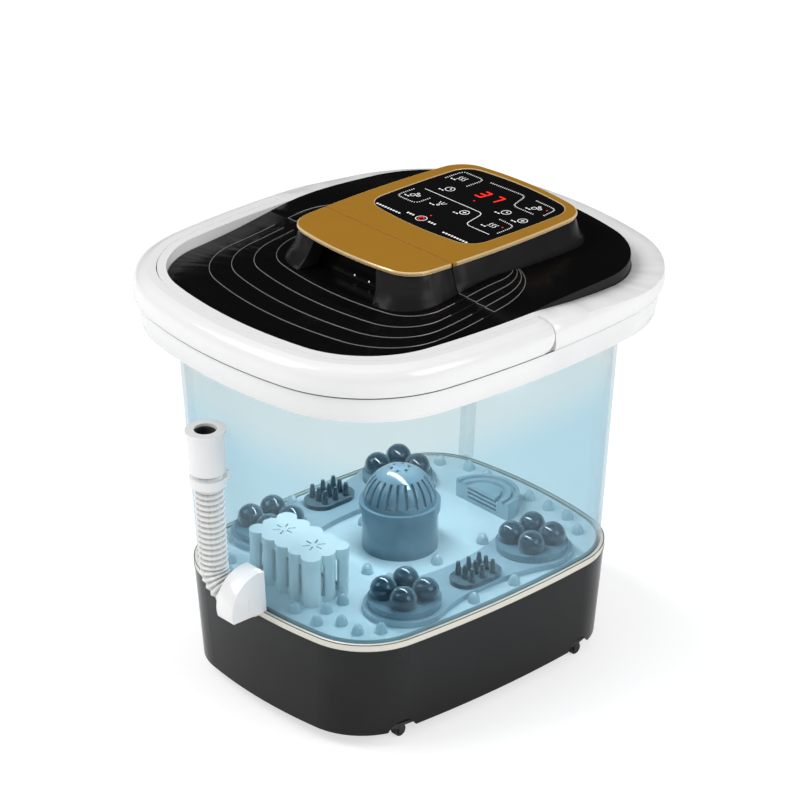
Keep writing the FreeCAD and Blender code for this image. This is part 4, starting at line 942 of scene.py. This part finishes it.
@dataclass
class DrainLine:
    """Corrugated drain hose with its hood, clip and end fitting."""

    finishes: FinishShelf
    collar_edge: float = 0.5 * MM
    mouth_forward: float = 0.7 * MM
    mouth_drop: float = 2.6 * MM
    shade_rings: tuple[Span, ...] = ((9.3, 0.0), (9.3, 14.0), (7.6, 14.0), (7.6, 0.8), (8.0, 0.0))
    shade_ring_sides: int = 40

    def build(self) -> None:
        """Dresses the drain line."""
        Bench.dress(self.finishes.hose, "drain_hose")
        Bench.dress(self.finishes.white_gloss, "hose_end_fitting", "hose_clip", "drain_collar")
        Bench.soften(self.collar_edge, "drain_collar")
        self.mouth()

    def mouth(self) -> None:
        """Turns a dark rubber-toned lining inside the end fitting's bore from its radii and depths: painted
        shade that darkens the bore.
        """
        low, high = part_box("hose_end_fitting")
        y = (low.y + high.y) / 2 - self.mouth_forward
        centre = Vector(((low.x + high.x) / 2, y, high.z - self.mouth_drop))
        mesh = bmesh.new()
        rings = []
        for radius, drop in self.shade_rings:
            spots = []
            for index in range(self.shade_ring_sides):
                angle = math.tau * index / self.shade_ring_sides
                offset = Vector((radius * math.cos(angle), radius * math.sin(angle), -drop))
                spots.append(mesh.verts.new(centre + offset * MM))
            rings.append(spots)
        for inner, outer in zip(rings, rings[1:] + rings[:1]):
            Bench.skin(mesh, inner, outer)
        Bench.piece("hose_mouth_shade", mesh, Body.BASIN, self.finishes.rubber, "seal_rubber")


@dataclass
class RimAndHandle:
    """White rim and the carry handle that swings out of it."""

    finishes: FinishShelf
    side_radius: float = 820.0 * MM
    end_radius: float = 430.0 * MM
    corner_radius: float = 112.0 * MM
    edge: float = 0.4 * MM
    lip_inset: float = 2.8 * MM
    shadow_line_drop: float = 0.8 * MM
    shadow_line_radius: float = 0.45 * MM

    def build(self) -> None:
        """Dresses the rim and the handle."""
        Bench.dress(self.finishes.white_gloss, "rim_ring", "carry_handle")
        Bench.dress(self.finishes.steel, "handle_pins")
        Bench.soften(self.edge, "rim_ring", "carry_handle")
        self.painted_shadow_line()

    def painted_shadow_line(self) -> None:
        """Lays a dark bead under the handle, along the top of the lower lip: painted shadow where the handle
        overhangs the lip.
        """
        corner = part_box("rim_ring")[1]
        rim = ArcOutline(corner.x, corner.y, self.side_radius, self.end_radius, self.corner_radius)
        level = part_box("front_lid")[0].z - self.shadow_line_drop
        path = [(x, y, level) for x, y in rim.grown(-self.lip_inset).points(24)]
        mesh = bmesh.new()
        Bench.loop_tube(mesh, path, self.shadow_line_radius, True)
        Bench.piece("lip_shadow_line", mesh, Body.BASIN, self.finishes.rubber, "seal_rubber")


@dataclass
class LidAndConsole:
    """Black lid and console with their gold plates."""

    finishes: FinishShelf
    flat: float = 0.9
    steep: float = 0.3
    step_limit: float = 1.6 * MM
    line_radius: float = 0.38 * MM
    lid_edge: float = 0.3 * MM
    plate_edge: float = 0.2 * MM
    seam_inset: float = 1.0 * MM
    seam_drop: float = 0.3 * MM
    seam_fill: float = 0.9

    def build(self) -> None:
        """Dresses the lid and the console."""
        shelf = self.finishes
        Bench.dress(shelf.lid_black_with_sheen, "front_lid", "console_body")
        Bench.dress(shelf.grip_black, "lid_grip")
        Bench.dress(shelf.black_grain, "console_base")
        Bench.dress(shelf.gold, "lid_bezel", "console_bezel")
        Bench.dress(shelf.panel, "touch_panel")
        Bench.soften(self.lid_edge, "front_lid", "console_body")
        Bench.soften(self.plate_edge, "lid_bezel", "console_bezel")
        # Grey beads on the low terrace edges of the lid and console: painted highlights.
        for node, body in (("front_lid", Body.LID), ("console_body", Body.BASIN)):
            name = f"{node}_ridge_highlight_lines"
            Bench.trace(name, node, self.on_terrace, self.line_radius, body, shelf.ridge_highlight, "lid_gloss")
        self.seam_shadow_strip()

    def on_terrace(self, edge: bmesh.types.BMEdge) -> bool:
        """Tells whether an edge is the upper edge of a terrace's low riser.

        Args:
            edge: Edge of the lid or console.

        Returns:
            True for such an edge.
        """
        low, high = sorted(edge.link_faces, key=lambda face: face.normal.z)
        levels = [vert.co.z for vert in low.verts]
        rise = max(levels) - min(levels)
        return high.normal.z > self.flat and abs(low.normal.z) < self.steep and rise < self.step_limit

    def seam_shadow_strip(self) -> None:
        """Lays a dark strip in the seam between the two gold plates: painted shade where the gap falls dark.
        """
        front_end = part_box("lid_bezel")[1].y
        rear_low, rear_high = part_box("console_bezel")
        y = (front_end + rear_low.y) / 2
        half = rear_high.x - self.seam_inset
        width = self.seam_fill * (rear_low.y - front_end)
        mesh = bmesh.new()
        start, end = Vector((-half, y, rear_low.z)), Vector((half, y, rear_low.z))
        Bench.bar(mesh, start, end, width, rear_high.z - rear_low.z - self.seam_drop)
        Bench.piece("plate_seam_shadow", mesh, Body.BASIN, self.finishes.rubber, "seal_rubber")


class Icon(Enum):
    """What a touch key shows: rings as (u, v, radius) and strokes as point runs, in key radii."""

    HEAT = (
        (),
        (
            ((-0.7, -0.8), (-0.45, -0.3), (-0.75, 0.2), (-0.5, 0.8)),
            ((0.0, -0.8), (0.25, -0.3), (-0.05, 0.2), (0.2, 0.8)),
            ((0.7, -0.8), (0.95, -0.3), (0.65, 0.2), (0.9, 0.8)),
        ),
    )
    BUBBLES = (((-0.4, -0.35, 0.5), (0.6, 0.1, 0.35), (-0.1, 0.75, 0.25)), ())
    ROLLER = (((0.0, 0.0, 0.9),), (((-0.45, 0.0), (0.45, 0.0)), ((0.0, -0.45), (0.0, 0.45))))
    TIMER = (((0.0, 0.0, 0.9),), (((0.0, 0.55), (0.0, 0.0), (0.45, 0.0)),))
    SPRAY = (
        ((0.0, -0.7, 0.25),),
        (((-0.3, -0.2), (-0.8, 0.8)), ((0.0, -0.1), (0.0, 0.9)), ((0.3, -0.2), (0.8, 0.8))),
    )


@dataclass(frozen=True)
class KeyMark:
    """One touch key: its icon, its lamp and a short printed rule."""

    u: float
    v: float
    icon: Icon
    lamp: bool = False


@dataclass(frozen=True)
class PrintedRun:
    """Printed line round a key or from key to key, dotted or solid."""

    corners: tuple[Span, ...]
    solid: bool = False


@dataclass(frozen=True)
class DashRow:
    """Row of short printed dashes, in millimetres on the panel."""

    u: float
    v: float
    count: int
    step: float = 3.4
    length: float = 2.0
    width: float = 2.0


@dataclass
class ControlFace:
    """Printed and lit marks on the touch panel: keys, printed runs, digits and lamps."""

    finishes: FinishShelf
    lift: float = 0.01 * MM
    ink: float = 0.6 * MM
    thickness: float = 0.05 * MM
    tick: float = 1.5 * MM
    tick_width: float = 0.7 * MM
    pitch: float = 2.3 * MM
    turn: float = 6.0 * MM
    turn_steps: int = 6
    key_radius: float = 4.6 * MM
    start_radius: float = 4.9 * MM
    ring_steps: int = 16
    digit_reach: Span = (3.44 * MM, 6.02 * MM)
    digit_lean: float = 0.84 * MM
    digit_stroke: float = 1.7 * MM
    lamp_radius: float = 0.8 * MM
    lamp_sides: int = 14
    middle: Span = field(init=False)
    top: float = field(init=False)
    keys: tuple[KeyMark, ...] = (
        KeyMark(-47, 35, Icon.HEAT),
        KeyMark(-37, 12, Icon.TIMER),
        KeyMark(-47, -18, Icon.BUBBLES),
        KeyMark(-19, -15, Icon.SPRAY),
        KeyMark(8, -13, Icon.ROLLER),
        KeyMark(31, 13, Icon.TIMER),
        KeyMark(42, 38, Icon.BUBBLES, True),
        KeyMark(53, 11, Icon.ROLLER),
        KeyMark(43, -14, Icon.HEAT, True),
    )
    runs: tuple[PrintedRun, ...] = (
        PrintedRun(((-58, 24), (-58, 47), (-32, 47), (-32, 26))),
        PrintedRun(((-58, -8), (-58, -30), (-34, -30), (-34, -12))),
        PrintedRun(((-52, -3), (20, -3), (26, -29), (55, -29)), True),
        PrintedRun(((-26, 47), (17, 49), (24, 27), (50, 27))),
        PrintedRun(((28, 49), (55, 48), (57, 31))),
        PrintedRun(((36, -1), (57, -2), (58, -23))),
    )
    rows: tuple[DashRow, ...] = (
        DashRow(-24.3, -48, 3, 3.2, 1.8, 2.2),
        DashRow(2.1, -48, 3, 3.2, 1.8, 2.2),
        DashRow(-56, -54, 9),
        DashRow(26, -54, 9),
    )
    start_key: Span = (-7, -48)
    lamps: tuple[Span, ...] = ((-5, 10), (-6, -38))
    key_rule: Span = (-7.5, -6.0)
    key_lamp: Span = (9, 3)
    digits: tuple[tuple[float, float, str], ...] = ((-9.5, 25, "abcdg"), (5.5, 26, "abc"))

    def __post_init__(self) -> None:
        """Finds the panel's top face."""
        low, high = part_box("touch_panel")
        self.middle = ((low.x + high.x) / 2, (low.y + high.y) / 2)
        self.top = high.z + self.lift

    def spot(self, u: float, v: float) -> Vector:
        """Point on the panel.

        Args:
            u: Millimetres to the right of the panel's middle.
            v: Millimetres behind it.

        Returns:
            The point on the panel's top face.
        """
        return Vector((self.middle[0] + u * MM, self.middle[1] + v * MM, self.top))

    def polyline(self, mesh: bmesh.types.BMesh, spots: list[Vector], width: float) -> None:
        """Prints straight strokes from point to point."""
        for start, end in zip(spots, spots[1:]):
            Bench.bar(mesh, start, end, width, self.thickness)

    def ring(self, mesh: bmesh.types.BMesh, centre: Vector, radius: float) -> None:
        """Prints a ring of strokes.

        Args:
            mesh: Mesh under construction.
            centre: Middle of the ring.
            radius: Ring radius.
        """
        spots = []
        for index in range(self.ring_steps + 1):
            angle = math.tau * index / self.ring_steps
            spots.append(centre + Vector((radius * math.cos(angle), radius * math.sin(angle), 0.0)))
        self.polyline(mesh, spots, self.ink)

    def dashes(self, mesh: bmesh.types.BMesh, row: DashRow) -> None:
        """Prints a row of dashes.

        Args:
            mesh: Mesh under construction.
            row: The row.
        """
        for index in range(row.count):
            u = row.u + row.step * index
            self.polyline(mesh, [self.spot(u, row.v), self.spot(u + row.length, row.v)], row.width * MM)

    def key(self, mesh: bmesh.types.BMesh, mark: KeyMark) -> None:
        """Prints one key's icon and the rule beside it.

        Args:
            mesh: Mesh under construction.
            mark: The key.
        """
        centre = self.spot(mark.u, mark.v)
        rings, strokes = mark.icon.value
        for u, v, radius in rings:
            self.ring(mesh, centre + Vector((u, v, 0.0)) * self.key_radius, radius * self.key_radius)
        for stroke in strokes:
            self.polyline(mesh, [centre + Vector((u, v, 0.0)) * self.key_radius for u, v in stroke], self.ink)
        right, behind = self.key_rule
        self.dashes(mesh, DashRow(mark.u + right, mark.v + behind, 2, length=2.2, width=1.3))

    def rounded(self, run: PrintedRun) -> list[Vector]:
        """Rounds the corners of a run.

        Args:
            run: The run.

        Returns:
            Points along it.
        """
        corners = [self.spot(u, v) for u, v in run.corners]
        path = [corners[0]]
        for before, corner, after in zip(corners, corners[1:], corners[2:]):
            start = corner + (before - corner).normalized() * self.turn
            end = corner + (after - corner).normalized() * self.turn
            for step in range(self.turn_steps + 1):
                share = step / self.turn_steps
                path.append(start * (1 - share) ** 2 + corner * (2 * share * (1 - share)) + end * share**2)
        path.append(corners[-1])
        return path

    def run(self, mesh: bmesh.types.BMesh, run: PrintedRun) -> None:
        """Prints one run, solid or in ticks across its line.

        Args:
            mesh: Mesh under construction.
            run: The run.
        """
        path = self.rounded(run)
        if run.solid:
            self.polyline(mesh, path, self.ink)
            return
        left_over = 0.0
        for start, end in zip(path, path[1:]):
            length = (end - start).length
            along = (end - start).normalized()
            across = Vector((-along.y, along.x, 0.0)) * (self.tick / 2)
            at = self.pitch - left_over
            while at < length:
                middle = start + along * at
                self.polyline(mesh, [middle - across, middle + across], self.tick_width)
                at += self.pitch
            left_over = length - (at - self.pitch)

    def digit(self, mesh: bmesh.types.BMesh, u: float, v: float, strokes: str) -> None:
        """Adds one seven-stroke digit.

        Args:
            mesh: Mesh under construction.
            u: Middle of the digit, in millimetres.
            v: Middle of the digit, in millimetres.
            strokes: Lit strokes, a to g.
        """
        ends = {
            "a": ((-1, 1), (1, 1)),
            "b": ((1, 1), (1, 0)),
            "c": ((1, 0), (1, -1)),
            "d": ((-1, -1), (1, -1)),
            "e": ((-1, 0), (-1, -1)),
            "f": ((-1, 1), (-1, 0)),
            "g": ((-1, 0), (1, 0)),
        }
        centre = self.spot(u, v)
        across, up = self.digit_reach
        lean = self.digit_lean
        for stroke in strokes:
            spots = [centre + Vector((across * x + lean * y, up * y, 0.0)) for x, y in ends[stroke]]
            self.polyline(mesh, spots, self.digit_stroke)

    def lamp(self, mesh: bmesh.types.BMesh, u: float, v: float) -> None:
        """Adds a small filled dot.

        Args:
            mesh: Mesh under construction.
            u: Middle of the dot, in millimetres.
            v: Middle of the dot, in millimetres.
        """
        made = bmesh.ops.create_circle(mesh, cap_ends=True, segments=self.lamp_sides, radius=self.lamp_radius)
        raised = self.spot(u, v) + Vector((0.0, 0.0, self.thickness))
        bmesh.ops.translate(mesh, verts=made["verts"], vec=raised)

    def build(self) -> None:
        """Makes the marks."""
        start_key = self.spot(*self.start_key)
        ink = bmesh.new()
        for mark in self.keys:
            self.key(ink, mark)
        for run in self.runs:
            self.run(ink, run)
        self.ring(ink, start_key, self.start_radius)
        for row in self.rows:
            self.dashes(ink, row)
        Bench.piece("panel_print", ink, Body.BASIN, self.finishes.glowing_white_ink, "panel_black")
        lit = bmesh.new()
        for u, v, strokes in self.digits:
            self.digit(lit, u, v, strokes)
        self.ring(lit, start_key, self.start_radius / 2)
        for mark in self.keys:
            if mark.lamp:
                self.lamp(lit, mark.u + self.key_lamp[0], mark.v + self.key_lamp[1])
        for u, v in self.lamps:
            self.lamp(lit, u, v)
        Bench.piece("panel_lights", lit, Body.BASIN, self.finishes.red_light, "panel_black")


@dataclass
class GoldLines:
    """Beads on the edges of the gold plates and round the touch panel: real rounded edges, whose paler gold
    than the plates is a painted highlight.
    """

    finishes: FinishShelf
    bead: float = 0.6 * MM
    edge_bead: float = 1.5 * MM
    bead_sides: int = 10
    side_radius: float = 900.0 * MM
    end_radius: float = 330.0 * MM
    plate_corner: float = 26.8 * MM
    plate_inset: float = 0.24 * MM
    panel_corner: float = 20.0 * MM
    panel_gap: float = 0.1 * MM
    seam_gap: float = 0.5 * MM

    def outline(self, low: Vector, high: Vector, corner: float) -> ArcOutline:
        """Outline that fills a box.

        Args:
            low: Lowest corner of the box.
            high: Highest corner of the box.
            corner: Corner radius.

        Returns:
            The outline.
        """
        half_width, half_depth = (high.x - low.x) / 2, (high.y - low.y) / 2
        middle = (low.y + high.y) / 2
        return ArcOutline(half_width, half_depth, self.side_radius, self.end_radius, corner, middle)

    def edge_beads(self, name: str, body: Body, run: list[Span], low: float, high: float) -> None:
        """Lays the wide bead along a plate's upper edge and the narrow one along its lower edge.

        Args:
            name: Piece name.
            body: Body that carries the beads.
            run: Points along the edge.
            low: Height of the plate's underside.
            high: Height of its top.
        """
        mesh = bmesh.new()
        for level, radius in ((high - self.edge_bead, self.edge_bead), (low + self.bead, self.bead)):
            Bench.loop_tube(mesh, [(x, y, level) for x, y in run], radius, False, self.bead_sides)
        Bench.piece(name, mesh, body, self.finishes.highlight_gold, "gold_satin")

    def build(self) -> None:
        """Makes the beads."""
        lid_low, lid_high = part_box("lid_bezel")
        rear_low, rear_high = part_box("console_bezel")
        low = Vector((min(lid_low.x, rear_low.x), lid_low.y, lid_low.z))
        high = Vector((max(lid_high.x, rear_high.x), rear_high.y, rear_high.z))
        spots = self.outline(low, high, self.plate_corner).grown(-self.plate_inset).points(24)
        front_run = self.run_of(spots, lambda y: y < lid_high.y - self.seam_gap)
        rear_run = self.run_of(spots, lambda y: y > rear_low.y + self.seam_gap)
        self.edge_beads("lid_edge_bead", Body.LID, front_run, low.z, high.z)
        self.edge_beads("console_edge_bead", Body.BASIN, rear_run, low.z, high.z)
        inner = self.outline(*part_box("touch_panel"), self.panel_corner).grown(self.panel_gap)
        mesh = bmesh.new()
        path = [(x, y, high.z - self.bead) for x, y in inner.points(20)]
        Bench.loop_tube(mesh, path, self.bead, True, self.bead_sides)
        Bench.piece("panel_bead", mesh, Body.BASIN, self.finishes.highlight_gold, "gold_satin")

    @staticmethod
    def run_of(spots: list[Span], keep: Callable[[float], bool]) -> list[Span]:
        """Picks the points of a closed outline that are kept, in one unbroken run.

        Args:
            spots: Points round the outline.
            keep: True for the y of a point that is kept.

        Returns:
            The points of the run.
        """
        count = len(spots)
        start = next(at for at in range(count) if keep(spots[at][1]) and not keep(spots[at - 1][1]))
        run = []
        for step in range(count):
            spot = spots[(start + step) % count]
            if not keep(spot[1]):
                break
            run.append(spot)
        return run


@dataclass
class GripLights:
    """Three small pale dots on the wall of the lid's grip, with a painted glow."""

    finishes: FinishShelf
    radius: float = 0.9 * MM
    flatness: float = 0.35
    stand_off: float = 50.0 * MM
    places: tuple[Span, ...] = ((0.0, -0.34), (0.39, -0.34), (0.78, -0.34))

    def build(self) -> None:
        """Sets the dots on the grip's wall."""
        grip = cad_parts["lid_grip"]
        low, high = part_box("lid_grip")
        mesh = bmesh.new()
        for across, up in self.places:
            z = (low.z + high.z) / 2 + up * (high.z - low.z)
            start = Vector((across * high.x, low.y - self.stand_off, z))
            hit, spot, _, _ = grip.ray_cast(start, Vector((0.0, 1.0, 0.0)))
            if not hit:
                raise RuntimeError("grip wall not found")
            made = bmesh.ops.create_uvsphere(mesh, u_segments=12, v_segments=8, radius=self.radius)
            bmesh.ops.scale(mesh, verts=made["verts"], vec=Vector((1.0, self.flatness, 1.0)))
            bmesh.ops.translate(mesh, verts=made["verts"], vec=spot)
        Bench.piece("grip_dots", mesh, Body.LID, self.finishes.glowing_white_ink, "grip_black")


# ---------------------------------------------------------------- studio


@dataclass(frozen=True)
class SoftBox:
    """Rectangular lamp: its place, the point it faces, its width and height, and its watts."""

    name: str
    at: Point
    aim: Point
    size: Span
    power: float

    def light(self) -> bpy.types.Object:
        """Adds the lamp to the scene.

        Returns:
            The lamp.
        """
        data = bpy.data.lights.new(self.name, "AREA")
        data.shape = "RECTANGLE"
        data.size, data.size_y = self.size
        data.energy = self.power
        lamp = bpy.data.objects.new(self.name, data)
        lamp.location = self.at
        lamp.rotation_euler = (Vector(self.aim) - Vector(self.at)).to_track_quat("-Z", "Y").to_euler()
        bpy.context.scene.collection.objects.link(lamp)
        return lamp


@dataclass
class Studio:
    """Pale floor, soft light and the camera."""

    finishes: FinishShelf
    azimuth: float = 48.14
    elevation: float = 26.16
    distance: float = 3.17485
    lens: float = 162.9
    sensor: float = 36.0
    target: Point = (-0.08286, 0.07424, 0.18583)
    soft: float = 0.62
    gloss_heights: Span = (0.75, 1.0)
    gloss_strengths: Span = (0.02, 0.5)
    floor_half: float = 20.0
    boxes: tuple[SoftBox, ...] = (
        SoftBox("key_box", (-1.2, -1.6, 2.2), (0.0, 0.0, 0.2), (1.6, 1.6), 38.0),
        SoftBox("side_box", (2.2, 0.4, 1.5), (0.0, 0.0, 0.2), (1.4, 1.4), 22.0),
    )
    strip_across: Span = (0.45, 0.4)
    strip_drop: float = 0.03
    strip_size: Span = (0.03, 0.15)
    strip_power: float = 0.36

    def camera(self) -> None:
        """Puts the camera at the viewing angle."""
        turn, lift = math.radians(self.azimuth), math.radians(self.elevation)
        back = Vector((math.sin(turn) * math.cos(lift), -math.cos(turn) * math.cos(lift), math.sin(lift)))
        data = bpy.data.cameras.new("camera")
        data.lens = self.lens
        data.sensor_width = self.sensor
        data.clip_start, data.clip_end = 0.1, 60.0
        eye = bpy.data.objects.new("camera", data)
        eye.location = Vector(self.target) + back * self.distance
        eye.rotation_euler = (-back).to_track_quat("-Z", "Y").to_euler()
        bpy.context.scene.collection.objects.link(eye)
        bpy.context.scene.camera = eye

    def world(self) -> None:
        """Makes the surroundings: white where seen, soft as a light, and dark round the horizon for gloss."""
        world = bpy.data.worlds.new("surroundings")
        world.use_nodes = True
        bpy.context.scene.world = world
        tree = world.node_tree
        seen = tree.nodes.new("ShaderNodeLightPath")
        way = tree.nodes.new("ShaderNodeTexCoord")
        parts = tree.nodes.new("ShaderNodeSeparateXYZ")
        tree.links.new(way.outputs["Generated"], parts.inputs["Vector"])
        mirrored = tree.nodes.new("ShaderNodeMapRange")
        for label, value in zip(
            ("From Min", "From Max", "To Min", "To Max"), (*self.gloss_heights, *self.gloss_strengths)
        ):
            mirrored.inputs[label].default_value = value
        tree.links.new(parts.outputs["Z"], mirrored.inputs["Value"])
        strength = self.blend(tree, seen.outputs["Is Glossy Ray"], self.soft)
        tree.links.new(mirrored.outputs["Result"], strength.inputs["B"])
        shown = self.blend(tree, seen.outputs["Is Camera Ray"], 0.0)
        tree.links.new(strength.outputs["Result"], shown.inputs["A"])
        shown.inputs["B"].default_value = 1.0
        background = tree.nodes["Background"]
        background.inputs["Color"].default_value = (1.0, 1.0, 1.0, 1.0)
        tree.links.new(shown.outputs["Result"], background.inputs["Strength"])

    @staticmethod
    def blend(tree: bpy.types.NodeTree, share: Socket, first: float) -> bpy.types.Node:
        """Adds a number mix.

        Args:
            tree: Tree that gets the node.
            share: Socket that drives the mix.
            first: Value at zero.

        Returns:
            The mix node.
        """
        mix = tree.nodes.new("ShaderNodeMix")
        mix.data_type = "FLOAT"
        mix.inputs["A"].default_value = first
        tree.links.new(share, mix.inputs["Factor"])
        return mix

    def floor(self) -> None:
        """Lays the floor."""
        mesh = bmesh.new()
        bmesh.ops.create_grid(mesh, x_segments=2, y_segments=2, size=self.floor_half)
        data = bpy.data.meshes.new("studio_floor")
        mesh.to_mesh(data)
        mesh.free()
        data.materials.append(FloorPaint("studio_floor").make())
        floor = bpy.data.objects.new("studio_floor", data)
        bpy.context.scene.collection.objects.link(floor)

    def strips(self) -> None:
        """Hangs two weak strips inside the tub, under the rim, which the camera doesn't see."""
        low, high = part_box("tub_shell")
        from_x, to_x = (share * high.x for share in self.strip_across)
        for name, side in (("tub_strip_left", -1.0), ("tub_strip_right", 1.0)):
            at, aim = (side * from_x, 0.0, high.z - self.strip_drop), (side * to_x, 0.0, low.z)
            SoftBox(name, at, aim, self.strip_size, self.strip_power).light().visible_camera = False

    def build(self) -> None:
        """Makes the studio."""
        bpy.context.scene.view_settings.view_transform = "Standard"
        self.camera()
        self.floor()
        self.world()
        for box in self.boxes:
            box.light()
        self.strips()


def main() -> None:
    """Builds the sub-assemblies in order."""
    finishes = FinishShelf()
    for unit in (
        Studio(finishes),
        BaseUnit(finishes),
        TubAndFloor(finishes),
        DrainLine(finishes),
        RimAndHandle(finishes),
        LidAndConsole(finishes),
        GoldLines(finishes),
        ControlFace(finishes),
        GripLights(finishes),
    ):
        unit.build()
        log.info("built %s", type(unit).__name__)


if __name__ == "__main__":
    main()
